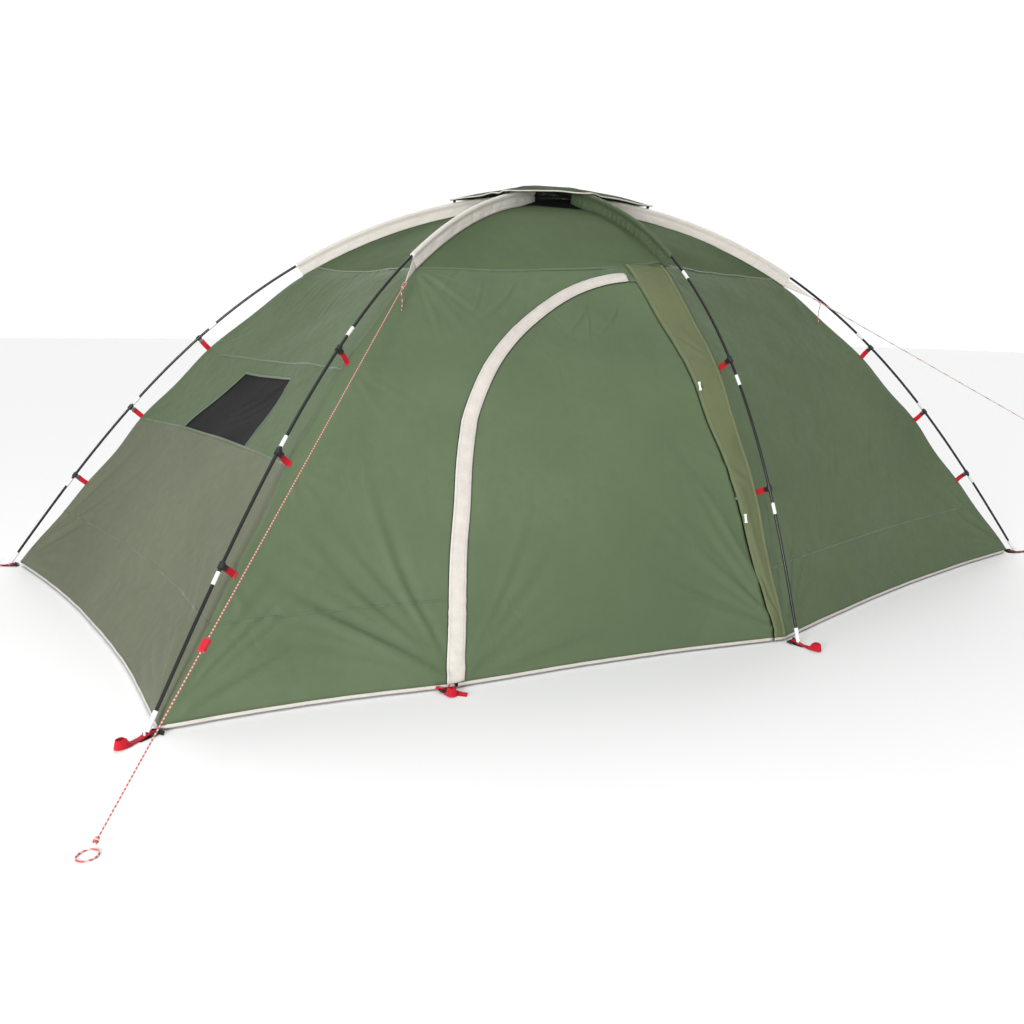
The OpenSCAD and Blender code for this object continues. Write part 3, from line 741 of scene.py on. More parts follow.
GREEN = (0.102, 0.144, 0.076)
# Painted light: a lighter, greyer copy of the fly green, standing in for the light on the end walls' low
# part.
LOW_GREEN_PAINTED_LIGHT = (0.139, 0.153, 0.102)
STRIP = (0.128, 0.150, 0.074)
CREAM = (0.70, 0.655, 0.60)
RED = (0.62, 0.006, 0.022)
M = {
    "fly": cloth_material("fly_cloth", GREEN),
    # Painted shade: the crown gets a darker copy of the fly green, so that the up-facing cloth is no brighter
    # than the door.
    "crown": cloth_material("crown_cloth", [c * 0.92 for c in GREEN], rough=0.85, sheen=0.0, specular=0.06),
    # Painted light: lighter copy of the fly cloth for the end walls below their cross seam.
    "fly_low_painted_light": cloth_material("end_wall_low_painted_light_cloth", LOW_GREEN_PAINTED_LIGHT),
    "strip": cloth_material("strip_cloth", STRIP, crinkle=0.25),
    # Lighter copy of the strip's green: tape on the strip's hem, and a painted highlight on the fold where
    # the strip turns over the ridge.
    "strip_band": stitched_material("strip_tape_and_fold_highlight", [c * 1.12 for c in STRIP]),
    "cap": cloth_material("cap_cloth", (0.050, 0.075, 0.038), rough=0.85, sheen=0.0, specular=0.06),
    "seam": stitched_material("seam_tape", [c * 0.88 for c in GREEN]),
    "ruffle": cloth_material("ruffle_cloth", [c * 0.80 for c in GREEN], crinkle=0.5),
    "cream": stitched_material("cream_tape", [c * 0.86 for c in CREAM]),
    "cream_cloth": cloth_material("cream_cloth", CREAM, dark=0.93, light=1.03, crinkle=0.4, sheen=0.1),
    "window": mesh_material("window_cloth", (0.007, 0.007, 0.008)),
    "net": mesh_material("vent_net", (0.008, 0.008, 0.009)),
    "floor": cloth_material("floor_sheet", (0.085, 0.095, 0.09), rough=0.5),
    "red": webbing_material("red_webbing", RED),
    "black_web": webbing_material("black_webbing", (0.012, 0.012, 0.013)),
    # Dark colour for the thin lines along the storm flap's edges.
    "dark_line": webbing_material("flap_dark_line", (0.030, 0.038, 0.024)),
    "zip_teeth": webbing_material("zip_teeth", (0.020, 0.020, 0.021)),
    "cord_left": cord_material("guy_cord_left", (0.48, 0.07, 0.07), (0.72, 0.58, 0.50), 0.42),
    "cord_right": cord_material("guy_cord_right", (0.66, 0.56, 0.50), (0.50, 0.12, 0.11), 0.25),
    "pole": hard_material("pole_black", (0.008, 0.008, 0.009), 0.30, wear=0.1),
    "ferrule": hard_material("ferrule_steel", (0.84, 0.84, 0.84), 0.35, metallic=0.2),
    "white": hard_material("white_plastic", (0.84, 0.84, 0.81), 0.42, wear=0.1),
    "black": hard_material("black_plastic", (0.012, 0.012, 0.013), 0.42),
    "lok": hard_material("tensioner_plastic", (0.50, 0.010, 0.022), 0.35, wear=0.1),
    "zip": hard_material("zip_metal", (0.05, 0.05, 0.055), 0.35, metallic=0.6),
}

# ---------------------------------------------------------------- guy lines (cords come first)
GUY_L = np.array([[-0.955, -0.535, 1.085], [-2.125, -1.465, 0.002]])
GUY_R = np.array([[0.955, -0.550, 1.085], [2.500, -1.850, 0.002]])
GUY_D = 0.0035
CORD_START, CORD_STOP = 0.014, 0.030


def guy_way(g):
    return (g[1] - g[0]) / np.linalg.norm(g[1] - g[0])


def straight_curve(name, pts, radius):
    data = bpy.data.curves.new(name, "CURVE")
    data.dimensions = "3D"
    data.bevel_depth = radius
    data.bevel_resolution = 3
    data.use_fill_caps = True
    line = data.splines.new("POLY")
    line.points.add(len(pts) - 1)
    for point, p in zip(line.points, pts):
        point.co = (*p, 1)
    return add_object(name, data)


def guy_end_piece(name, g, material):
    """Loop for a peg and the knot that makes it, lying on the ground."""
    way = guy_way(g)
    flat = np.array([way[0], way[1], 0]) / np.hypot(way[0], way[1])
    side = np.array([-flat[1], flat[0], 0])
    mid = np.array([g[1][0], g[1][1], GUY_D / 2 + 0.0002]) + flat * 0.004
    a = np.linspace(0, 2 * np.pi, 40, endpoint=False)
    ring = mid + np.outer(np.cos(a) * 0.022, flat) + np.outer(np.sin(a) * 0.019, side)
    rings = tube_points(np.vstack([ring, ring[:1]]), GUY_D / 2, 10)[:-1]
    loop = loft(name + "_ring", rings, closed=True)
    knot_mid = g[1] - way * 0.026 + np.array([0, 0, 0.001])
    turns = []
    for t in np.linspace(0, 1, 60):
        ang = t * 2 * np.pi * 3.2
        r = 0.0035 * (1 + 0.25 * np.sin(np.pi * t))
        turns.append(knot_mid + way * (t - 0.5) * 0.012 + side * r * np.cos(ang)
                     + np.cross(way, side) * r * np.sin(ang))
    knot = loft(name + "_knot", tube_points(np.array(turns), GUY_D / 2, 8))
    for o in (loop, knot):
        o.data.materials.append(material)
    out = join(name, [loop, knot])
    for p in out.data.polygons:
        p.use_smooth = True
    return out


def add_guy(side, g, material):
    way = guy_way(g)
    start, stop = g[0] + way * CORD_START, g[1] - way * CORD_STOP
    pts = [start + (stop - start) * f for f in np.linspace(0, 1, 20)]
    cord = straight_curve("guy_cord_" + side, pts, GUY_D / 2)
    finish_piece(cord, material, "tent", ["guy_line_" + side])
    end = guy_end_piece("guy_peg_loop_" + side, g, material)
    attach(end, "tent")
    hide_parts("guy_end_" + side)
    return cord


add_guy("left", GUY_L, M["cord_left"])
add_guy("right", GUY_R, M["cord_right"])


# ---------------------------------------------------------------- cloth walls
def metric_uv(k, u, s):
    x, y = cloth_xy(k, u, s)
    return np.stack([x + k * 2.5, y], -1)


def area_of(obj):
    bm = bmesh.new()
    bm.from_mesh(obj.data)
    total = sum(f.calc_area() for f in bm.faces)
    bm.free()
    return total


def declare_sheet(obj, width, length, held="stretched", rests_on=("pole_a_rod",), area=None):
    found = area_of(obj) if area is None else area


def wall_piece(name, k, u, s, node, size, hole=None):
    """One wall of the fly; u and s are grids of places on wall k, and size is its flat width and length."""
    obj = grid_mesh(name, skin(k, u, s), metric_uv(k, u, s), hole=hole)
    area = area_of(obj)
    thicken(obj, CLOTH)
    finish_piece(obj, M["fly"], "tent", [node])
    declare_sheet(obj, *size, area=area)
    return obj


def add_plain_walls():
    for name, k in (("front_right", 2), ("right", 3), ("rear_right", 4), ("rear_left", 5)):
        u = np.linspace(0, 1, 150)[None, :] * np.ones((130, 1))
        s = seam(k + u * WITHIN) + (1 - seam(k + u * WITHIN)) * np.linspace(0, 1, 130)[:, None]
        obj = wall_piece(name + "_wall", k, u, s, name + "_panel", (1.99 if k == 3 else 1.96, 1.75))
        # The right end wall's low part gets the painted light too.
        if k == 3:
            paint_light_low_part(obj, 3)


WINDOW_S = (0.60, 0.708)


def window_u(s):
    g = np.clip((np.asarray(s, float) - WINDOW_S[0]) / (WINDOW_S[1] - WINDOW_S[0]), 0, 1)
    return 0.38 - 0.065 * g, 0.71 + 0.005 * g


def paint_light_low_part(obj, k):
    """Painted light: the cloth below an end wall's cross seam gets a lighter, greyer copy of the fly colour,
    standing in for the light that falls on the lower wall.
    """
    obj.data.materials.append(M["fly_low_painted_light"])
    layer = obj.data.uv_layers["cloth"].data
    limit = WINDOW_S[1] * LEG_LEN[k]
    for poly in obj.data.polygons:
        if np.mean([layer[i].uv[1] for i in poly.loop_indices]) > limit:
            poly.material_index = 1


def window_outline(n=36):
    """Places round the window, clockwise from its top left corner."""
    top, low = WINDOW_S
    f = np.linspace(0, 1, n)[:-1]
    a0, b0 = (float(x) for x in window_u(top))
    a1, b1 = (float(x) for x in window_u(low))
    u = np.concatenate([a0 + (b0 - a0) * f, b0 + (b1 - b0) * f, b1 + (a1 - b1) * f, a1 + (a0 - a1) * f])
    s = np.concatenate([np.full_like(f, top), top + (low - top) * f,
                        np.full_like(f, low), low + (top - low) * f])
    return np.append(u, u[0]), np.append(s, s[0])


def add_left_wall():
    s_list = np.concatenate([np.linspace(END_SEAM, WINDOW_S[0], 46), np.linspace(*WINDOW_S, 22)[1:],
                             np.linspace(WINDOW_S[1], 1, 62)[1:]])
    rows = []
    for s in s_list:
        a, b = window_u(s)
        rows.append(np.concatenate([np.linspace(0, a, 54), np.linspace(a, b, 50)[1:],
                                    np.linspace(b, 1, 44)[1:]]))
    u = np.array(rows)
    s = s_list[:, None] * np.ones_like(u)
    s[:46] = (WINDOW_S[0] - (WINDOW_S[0] - s[:46]) / (WINDOW_S[0] - END_SEAM)
              * (WINDOW_S[0] - seam(u[:46] * WITHIN)))
    obj = wall_piece("left_wall", 0, u, s, "left_panel", (1.99, 1.75),
                     hole=lambda i, j: 45 <= i < 66 and 53 <= j < 102)
    # Painted light on the left end wall's low part.
    paint_light_low_part(obj, 0)
    s_in = np.linspace(WINDOW_S[0] - 0.004, WINDOW_S[1] + 0.004, 24)
    a, b = window_u(s_in)
    u_in = np.linspace(a - 0.006, b + 0.006, 50).T
    s_in = s_in[:, None] * np.ones_like(u_in)
    pane = grid_mesh("window_cloth", skin(0, u_in, s_in, 0.002), metric_uv(0, u_in, s_in))
    area = area_of(pane)
    thicken(pane, 0.0008)
    finish_piece(pane, M["window"], "tent", ["window_pane"])
    declare_sheet(pane, 0.62, 0.32, area=area)
    u, s = window_outline()
    seam_on_wall("window_seam", 0, u, s, 0.009, "seam")
    u = np.linspace(0, 1, 120)
    for name, place, part in (("end_seam_left_a", WINDOW_S[1], u * 0.315),
                              ("end_seam_left_b", WINDOW_S[1], 0.715 + u * 0.285),
                              ("end_seam_top", 0.575, 0.12 + u * 0.88)):
        seam_on_wall(name, 0, part, np.full_like(part, place), 0.008, "seam")
    seam_on_wall("end_seam_right", 3, u, np.full_like(u, WINDOW_S[1]), 0.008, "seam")


def wall_normal(k, u, s):
    e = 0.004
    across = flat_skin(k, np.clip(u + e, 0, 1), s) - flat_skin(k, np.clip(u - e, 0, 1), s)
    down = flat_skin(k, u, np.clip(s + e, 0, 1)) - flat_skin(k, u, np.clip(s - e, 0, 1))
    return norm_rows(np.cross(down, across))


def seam_on_wall(name, k, u, s, width, material, body="tent", thick=0.0009):
    normal = wall_normal(k, u, s)
    line = skin(k, u, s) + normal * (thick / 2 + 0.0002)
    obj = ribbon(name, line, normal, width, thick)
    return finish_piece(obj, M[material], body, ())


def add_front_left_wall():
    """The wall round the door: cloth left of it, above it, and the strip's backing on its right."""
    s_list = np.concatenate([np.linspace(END_SEAM, OPENING_TOP_T, 5),
                             OPENING_TOP_T + (1 - OPENING_TOP_T) * np.linspace(0, 1, 140)[1:] ** 1.25])
    q = np.maximum(s_list, OPENING_TOP_T)
    a, b = door_u(q) - 0.002, hinge_u(q) + 0.002
    u = np.concatenate([np.linspace(0, a, 90), np.linspace(b, np.ones_like(b), 14)]).T
    s = s_list[:, None] * np.ones_like(u)
    s[:5] = OPENING_TOP_T - (OPENING_TOP_T - seam(1 + u[:5] * WITHIN)) * np.linspace(1, 0, 5)[:, None]
    wall_piece("front_left_wall", 1, u, s, "front_left_panel", (1.40, 1.75),
               hole=lambda i, j: i >= 4 and j == 89)


HINGE_AXIS = norm_rows(np.array([-0.0712, 0.4682, 0.8807]))
ZIP_SPLIT = 0.004


def blend_door(obj):
    """Bakes the piece's place into its mesh; the hinge side worked out here is not used."""
    left = norm_rows(np.cross(wall_out(1), HINGE_AXIS))
    if left[0] > 0:
        left = -left
    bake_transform(obj)


def door_piece(obj, material, nodes):
    """A piece of the door: its modifiers applied, its material set and its place baked; it rides on nothing
    else.
    """
    apply_modifiers(obj)
    obj.data.materials.clear()
    obj.data.materials.append(material)
    for p in obj.data.polygons:
        p.use_smooth = True
    blend_door(obj)
    if nodes:
        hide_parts(*nodes)
    return obj


def add_door():
    f = np.linspace(0, 1, 150) ** 1.25
    s_list = OPENING_TOP_T + 0.002 + (1 - OPENING_TOP_T - 0.002) * f
    a = door_u(np.maximum(s_list - 0.003, OPENING_TOP_T)) + ZIP_SPLIT
    u = np.linspace(a, hinge_u(s_list) - 0.0005, 110).T
    s = s_list[:, None] * np.ones_like(u)
    obj = grid_mesh("door_cloth", skin(1, u, s), metric_uv(1, u, s))
    area = area_of(obj)
    thicken(obj, CLOTH)
    door_piece(obj, M["fly"], ["door_panel"])


def edge_grid(q, e, depth):
    """Points of a band along the door's edge: q along it, e into the door, on the folded cloth."""
    qq, ee = np.meshgrid(q, e, indexing="ij")
    u, s = edge_place(qq, ee)
    d = np.broadcast_to(np.asarray(depth, float), qq.shape)
    p = skin(1, u, s, 0.0)
    return p - wall_normal(1, u, s) * d[..., None], np.stack([u, s], -1)


FLAP_HALF = 0.025


def band_uv(pts):
    """Metres along, and 0 to 1 across."""
    mid = pts[:, pts.shape[1] // 2]
    along = np.concatenate([[0], np.cumsum(np.linalg.norm(np.diff(mid, axis=0), axis=-1))])
    return np.stack(np.meshgrid(along, np.linspace(0, 1, pts.shape[1]), indexing="ij"), -1)


def add_storm_flap():
    q = np.linspace(0.001, 0.985, 220)
    e = np.linspace(-FLAP_HALF, FLAP_HALF, 13)
    puff = 0.0016 * (1 - (e / FLAP_HALF) ** 2)
    ripple = 0.0004 * np.sin(np.outer(q * 150 + 3 * np.sin(q * 37), np.ones_like(e)) + e * 60)
    pts, _ = edge_grid(q, e, -(0.0036 + puff[None, :] + ripple))
    obj = grid_mesh("storm_flap", pts, band_uv(pts))
    area = area_of(obj)
    thicken(obj, 0.0012)
    door_piece(obj, M["cream"], ["door_storm_flap"])
    # A thin dark tube along each edge of the flap.
    for name, e0 in (("flap_dark_line_left", -FLAP_HALF - 0.0012), ("flap_dark_line_right", FLAP_HALF + 0.0012)):
        pts, _ = edge_grid(q, [e0], -0.0022)
        dark_line = loft(name, tube_points(pts[:, 0], 0.0012, 6))
        door_piece(dark_line, M["dark_line"], ())


def add_zip():
    q = np.linspace(0.01, 0.93, 200)
    pts, _ = edge_grid(q, np.linspace(-0.012, 0.012, 5), 0.0052)
    tape = grid_mesh("zip_tape", pts, band_uv(pts))
    thicken(tape, 0.0008)
    pts, _ = edge_grid(q, [0.0], 0.0066)
    coil = loft("zip_coil", tube_points(pts[:, 0], 0.0026, 8, flat=0.6))
    finish_piece(coil, M["zip_teeth"], "tent", ())
    finish_piece(tape, M["black_web"], "tent", ["door_zip"])


STRIP_TOP = 0.353


def add_side_strip():
    s_list = np.linspace(STRIP_TOP, 1, 150)
    w = wall_width(1, s_list)
    e = np.linspace(strip_w(s_list) - 0.003, 0.004, 16).T
    u = 1 - e / w[:, None]
    s = s_list[:, None] * np.ones_like(u)
    f = np.linspace(0, 1, 16)[None, :]
    lift = 0.0034 + 0.0030 * np.sin(np.pi * f) + 0.0008 * np.sin(s * 90 + 5 * f)
    pts = skin(1, u, s) + wall_normal(1, u, s) * lift[..., None]
    obj = grid_mesh("side_strip", pts, metric_uv(1, u, s))
    area = area_of(obj)
    thicken(obj, 0.0012)
    finish_piece(obj, M["strip"], "tent", ["door_side_flap"])
    declare_sheet(obj, 0.150, 1.72, "stretched", ["front_left_wall"], area)
    # The band at the strip's ridge edge is a painted highlight: a lighter tape where the folded cloth catches
    # the light.
    for name, col, width in (("strip_band", 1, 0.011), ("strip_fold_highlight", 14, 0.009)):
        normal = wall_normal(1, u[:, col], s[:, col])
        band = ribbon(name, pts[:, col] + normal * 0.0009, normal, width, 0.0012)
        finish_piece(band, M["strip_band"], "tent", ())


def add_crown():
    v = np.linspace(0, 6, 6 * 90, endpoint=False)[None, :]
    f = np.linspace(0, 1, 72)[:, None]
    vv, ss = v + 0 * f, CROWN_T + (seam(v) - CROWN_T) * f
    uv = np.stack([vv * 1.3, ss * 2.6], -1)
    obj = grid_mesh("crown_cloth", around(vv, ss), np.concatenate([uv, uv[:, :1] + [7.8, 0]], 1), wrap=True)
    area = area_of(obj)
    thicken(obj, CLOTH)
    finish_piece(obj, M["crown"], "tent", ["crown_panel"])
    declare_sheet(obj, 1.72, 1.46, area=area)
    v = np.linspace(0, 6, 6 * 20, endpoint=False)[None, :]
    s = np.linspace(0.004, CROWN_T + 0.004, 18)[:, None]
    net = grid_mesh("vent_net", around(v + 0 * s, s + 0 * v, 0.002), None, wrap=True)
    area = area_of(net)
    thicken(net, 0.0008)
    finish_piece(net, M["net"], "tent", ["vent_mesh"])
    declare_sheet(net, 0.48, 0.40, area=area)
    for k in range(6):
        u = np.linspace(0.0, 1.0, 130)
        seam_on_wall(f"crown_seam_{k}", k, u, seam(k + u * WITHIN), 0.009, "seam")
        if k != 1:
            seam_on_wall(f"low_seam_{k}", k, u, np.full_like(u, LOW_SEAM_T), 0.007, "seam")
            continue
        edge = float(door_u(LOW_SEAM_T))
        seam_on_wall("low_seam_1", 1, u * (edge - 0.012), np.full_like(u, LOW_SEAM_T), 0.007, "seam")


def add_rain_cap():
    v = np.linspace(0, 6, 180, endpoint=False)[None, :]
    f = np.linspace(0.02, 1, 26)[:, None]
    w = v % 6
    k = np.floor(w).astype(int)
    u = w - k
    part = np.where(MIDDLE, CAP_SHORT, CAP_LONG)
    edge = part[k] * (1 - u) + part[(k + 1) % 6] * u - 0.02 * 4 * u * (1 - u)
    vv, ss = w + 0 * f, f * edge
    above = CAP_H + 0.001 + CAP_BULGE * (1 - f ** 2) + gap_over(ss)
    flat = np.zeros(vv.shape + (3,))
    for wall in range(6):
        here = (k == wall)[0]
        flat[:, here] = flat_skin(wall, (vv - wall)[:, here], ss[:, here], -above[:, here])
    x, y = flat[..., 0], flat[..., 1]
    wave = 0.0012 * waves(x, y, 0.16, 71) * f + 0.0012 * f ** 4 * np.sin(w * 2 * np.pi * 2 + 0.6)
    flat[..., 2] += wave
    obj = grid_mesh("rain_cap_cloth", flat, None, wrap=True)
    bm = bmesh.new()
    bm.from_mesh(obj.data)
    hub = bm.verts.new(flat[0].mean(0))
    bm.verts.ensure_lookup_table()
    n = flat.shape[1]
    for j in range(n):
        bm.faces.new((bm.verts[(j + 1) % n], hub, bm.verts[j]))
    bmesh.ops.recalc_face_normals(bm, faces=bm.faces)
    bm.to_mesh(obj.data)
    bm.free()
    area = area_of(obj)
    thicken(obj, 0.0014, 0)
    finish_piece(obj, M["cap"], "tent", ["rain_cap"])
    declare_sheet(obj, 0.86, 0.62, "stretched", ["pole_c_rod"], area)
    rim = np.vstack([flat[-1], flat[-1][:1]])
    hem = loft("cap_hem", tube_points(rim, 0.0034, 8, flat=0.75)[:-1], closed=True)
    finish_piece(hem, M["cream_cloth"], "tent", ())


def smooth_line(pts, rounds):
    pts = np.array(pts)
    for _ in range(rounds):
        pts[1:-1] = 0.25 * pts[:-2] + 0.5 * pts[1:-1] + 0.25 * pts[2:]
    return pts


HEM_TAPE = (0.0095, 0.0032)


def hem_piece(name, v):
    """Tape folded over the walls' lower edge."""
    line = around(v, np.ones_like(v), -0.0002)
    line[:, 2] = 0.0102
    line = smooth_line(line, 2)
    ahead = norm_rows(np.gradient(line, axis=0))
    out = norm_rows(np.cross(ahead, [0, 0, -1.0]))
    line += out * (0.0004 * np.sin(np.arange(len(line)) * 0.9))[:, None]
    return ribbon(name, line, out, *HEM_TAPE)


def add_hems():
    a, b = 1 + DOOR_LOW_U - 0.002, 1 + float(hinge_u(1)) + 0.002
    line = np.concatenate([np.linspace(b, 2, 12)[:-1], np.linspace(2, 7, 5 * 90),
                           np.linspace(7, 6 + a, 50)[1:]])
    obj = hem_piece("hem_tape", line)
    finish_piece(obj, M["cream"], "tent", ["hem_binding"])
    door = hem_piece("door_hem_tape", np.linspace(1 + DOOR_LOW_U + 0.004, 1 + float(hinge_u(1)) - 0.002, 80))
    door_piece(door, M["cream"], ["door_hem"])


# ---------------------------------------------------------------- poles, sleeves and what is sewn on
def add_poles():
    for name, i in (("pole_a", 0), ("pole_b", 1), ("pole_c", 2)):
        far = (i + 3) % 6
        s = np.linspace(0.985, 0.0, 110)
        line = np.vstack([pole_at(i, s), pole_at(far, s[::-1][1:])])
        obj = straight_curve(name + "_rod", line, POLE_R)
        finish_piece(obj, M["pole"], "tent", [name])


def fin_rings(i, s, pucker, ripple, foot):
    """Cross-sections of a sleeve: round over the pole, then a doubled fin down to the cloth."""
    base = gap(i, s) + OVER[i] * (1 - smooth(s / 0.2)) - foot
    arc = np.radians(np.linspace(-35, 215, 13))
    rings = [(0.0078 * np.cos(a), 0.0078 * np.sin(a), 0.0) for a in arc]
    down = [(-0.0040, 0.0095, 0.0), (-0.0016, 0.0130, 0.0), (-0.0013, 0.0155, 0.0), (-0.0026, 0.0215, 0.5),
            (-0.0026, 0.55, 1.0), (-0.0024, 0.72, 0.9), (-0.0022, 0.88, 0.5), (-0.0034, 1.0, 0.1)]
    rings += [(x, -z, wave) for x, z, wave in down] + [(-x, -z, wave) for x, z, wave in down[::-1]]
    out = []
    for x, z, wave in rings:
        lift = np.full_like(s, z) if abs(z) < 0.1 else z * base
        lift = np.maximum(lift, -base)
        grow = np.sign(x) * 0.5 * pucker * min(1.0, abs(z) * 60) if wave == 0.0 else 0
        out.append(pole_at(i, s, lift, x + wave * ripple + grow))
    return np.stack(out, 1)


def add_sleeves():
    names = ("rear_left", "front_left", "front_middle", "front_right", "rear_right", "rear_middle")
    for i, name in enumerate(names):
        ruffled = i == 2
        s = np.linspace(SLEEVE_FROM, SLEEVE_TO[i], 320)
        run = s * LEG_LEN[i]
        rng = np.random.default_rng(200 + i)
        fine = sum(np.sin(run * 2 * np.pi / p + rng.uniform(0, 6)) for p in (0.011, 0.017, 0.029)) / 3
        broad = sum(np.sin(run * 2 * np.pi / p + rng.uniform(0, 6)) for p in (0.07, 0.13, 0.23)) / 3
        ends = smooth((s - SLEEVE_FROM) / 0.02) * smooth((SLEEVE_TO[i] - s) / 0.01)
        ripple = ((0.0042 if ruffled else 0.0008) * fine + 0.0022 * broad) * ends
        pucker = (0.0016 if ruffled else 0.0005) * fine * ends
        tube = loft("sleeve_" + name + "_fin", fin_rings(i, s, pucker, ripple, 0.0012))
        material = M["ruffle"] if ruffled else M["cream_cloth"]
        finish_piece(tube, material, "tent", ["sleeve_" + name])
        normal = norm_rows(pole_at(i, s, 0.01) - pole_at(i, s, 0.0))
        line = leg(i, s, 0.0007 - gap(i, s))
        tape = ribbon(f"sleeve_{name}_seam", line, normal, 0.011, 0.0012)
        finish_piece(tape, M["seam"], "tent", ())


def webbing(name, line, across, width, thick, material):
    """Strap along a line, with its width along the given direction."""
    line = np.asarray(line, float)
    ahead = norm_rows(np.gradient(line, axis=0))
    normal = norm_rows(np.cross(ahead, np.broadcast_to(np.asarray(across, float), line.shape)))
    obj = ribbon(name, line, normal, width, thick)
    obj.data.materials.append(M[material])
    return obj


def bent_line(knots, n=24):
    """Smooth line through a few points."""
    knots = np.asarray(knots, float)
    pts = []
    ext = np.vstack([2 * knots[0] - knots[1], knots, 2 * knots[-1] - knots[-2]])
    per = max(2, n // (len(knots) - 1))
    for i in range(1, len(ext) - 2):
        p0, p1, p2, p3 = ext[i - 1:i + 3]
        for t in np.linspace(0, 1, per, endpoint=False):
            pts.append(0.5 * (2 * p1 + (p2 - p0) * t + (2 * p0 - 5 * p1 + 4 * p2 - p3) * t * t
                              + (3 * p1 - p0 - 3 * p2 + p3) * t ** 3))
    pts.append(knots[-1])
    return np.array(pts)


def add_clip_straps():
    straps = []
    for i in range(6):
        for n, s in enumerate(clips(i)):
            g = float(gap(i, s))
            top, low = POLE_R + 0.0080, g + 0.001
            ahead = norm_rows(leg(i, s + 0.004) - leg(i, s - 0.004))
            lean = 0.003 * (-1) ** n
            knots = [leg(i, s, -(top + (low - top) * f), lean * math.sin(math.pi * f))
                     for f in (0, 0.3, 0.65, 1)]
            line = bent_line(knots, 12)
            twist = np.linspace(0.10, -0.14, len(line))[:, None] * side_dir(i)
            straps.append(webbing("strap", line, ahead + twist, 0.0195, 0.0017, "red"))
            # The sewn foot of the strap lies on the ridge
            side = 1 if i in (1, 2) else -1
            foot = bent_line([leg(i, s, -g - 0.0005), leg(i, s, -g - 0.0015, side * 0.003),
                              leg(i, s, -g - 0.0035, side * 0.006)], 8)
            straps.append(webbing("strap", foot, ahead, 0.0195, 0.0016, "red"))
    obj = join("clip_webbing", straps)
    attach(obj, "tent")
    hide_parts("clip_straps")


def box_mesh(name, size, place, turn, material, bevel=0.0012):
    """Moulded block with rounded edges; turn has the block's own axes as columns."""
    bm = bmesh.new()
    bmesh.ops.create_cube(bm, size=1)
    bmesh.ops.scale(bm, vec=size, verts=bm.verts)
    bmesh.ops.bevel(bm, geom=bm.edges[:], offset=min(bevel, min(size) * 0.35), segments=3,
                    affect="EDGES", profile=0.6)
    mesh = bpy.data.meshes.new(name)
    bm.to_mesh(mesh)
    bm.free()
    obj = add_object(name, mesh)
    obj.matrix_world = Matrix.Translation(place) @ Matrix(np.array(turn).tolist()).to_4x4()
    bpy.context.view_layer.update()
    obj.data.materials.append(M[material])
    return obj


def buckle(centre, out, material="black"):
    """Ladder lock: a frame with two bars, flat on the ground, out along the strap."""
    side = np.cross(UP, out)
    turn = np.stack([out, side, UP], 1)
    parts = []
    for y in (-0.0145, 0.0145):
        parts.append(box_mesh("rail", (0.024, 0.004, 0.006), centre + side * y, turn, material))
    for x, tall in ((-0.010, 0.004), (-0.001, 0.005), (0.009, 0.0035)):
        parts.append(box_mesh("bar", (0.004, 0.029, tall), centre + out * x + UP * 0.0008, turn, material))
    return parts


def peg_loop_webbing(origin, out, length=0.060):
    """Red loop of webbing: flat and narrow at the foot, then flared and standing round the peg hole."""
    side = np.cross(UP, out)
    shape = [(0.000, 0.0030), (0.012, 0.0032), (0.026, 0.0060), (0.040, 0.0105), (0.052, 0.0095),
             (length - 0.001, 0.005)]
    full = shape + [(length, 0.0)] + [(x, -y) for x, y in shape[::-1]]
    line = bent_line([origin + out * x + side * y for x, y in full], 72)
    reach = (line - origin) @ out
    stand = smooth((reach - 0.010) / 0.030)
    width = 0.012 + 0.011 * stand
    line[:, 2] = 0.0030 + stand * (width / 2 - 0.001) + 0.0012 * (1 - stand) * ((line - origin) @ side > 0)
    ahead = norm_rows(np.gradient(line, axis=0))
    level = norm_rows(np.cross(ahead, UP))
    across = norm_rows(level * (1 - stand)[:, None] + UP * stand[:, None])
    lean = 0.25 * np.sin(reach * 40)[:, None] * level * stand[:, None]
    return webbing("loop", line, across + lean, width, 0.0016, "red")


MID_LOOPS = ((-1.14409, -1.08777, -1), (0.70033, 1.13154, 1))


def finish_joined(name, parts, node, rounded):
    """One piece on the tent from several, in place of a CAD node."""
    obj = join(name, parts)
    for p in obj.data.polygons:
        p.use_smooth = rounded
    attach(obj, "tent")
    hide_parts(node)


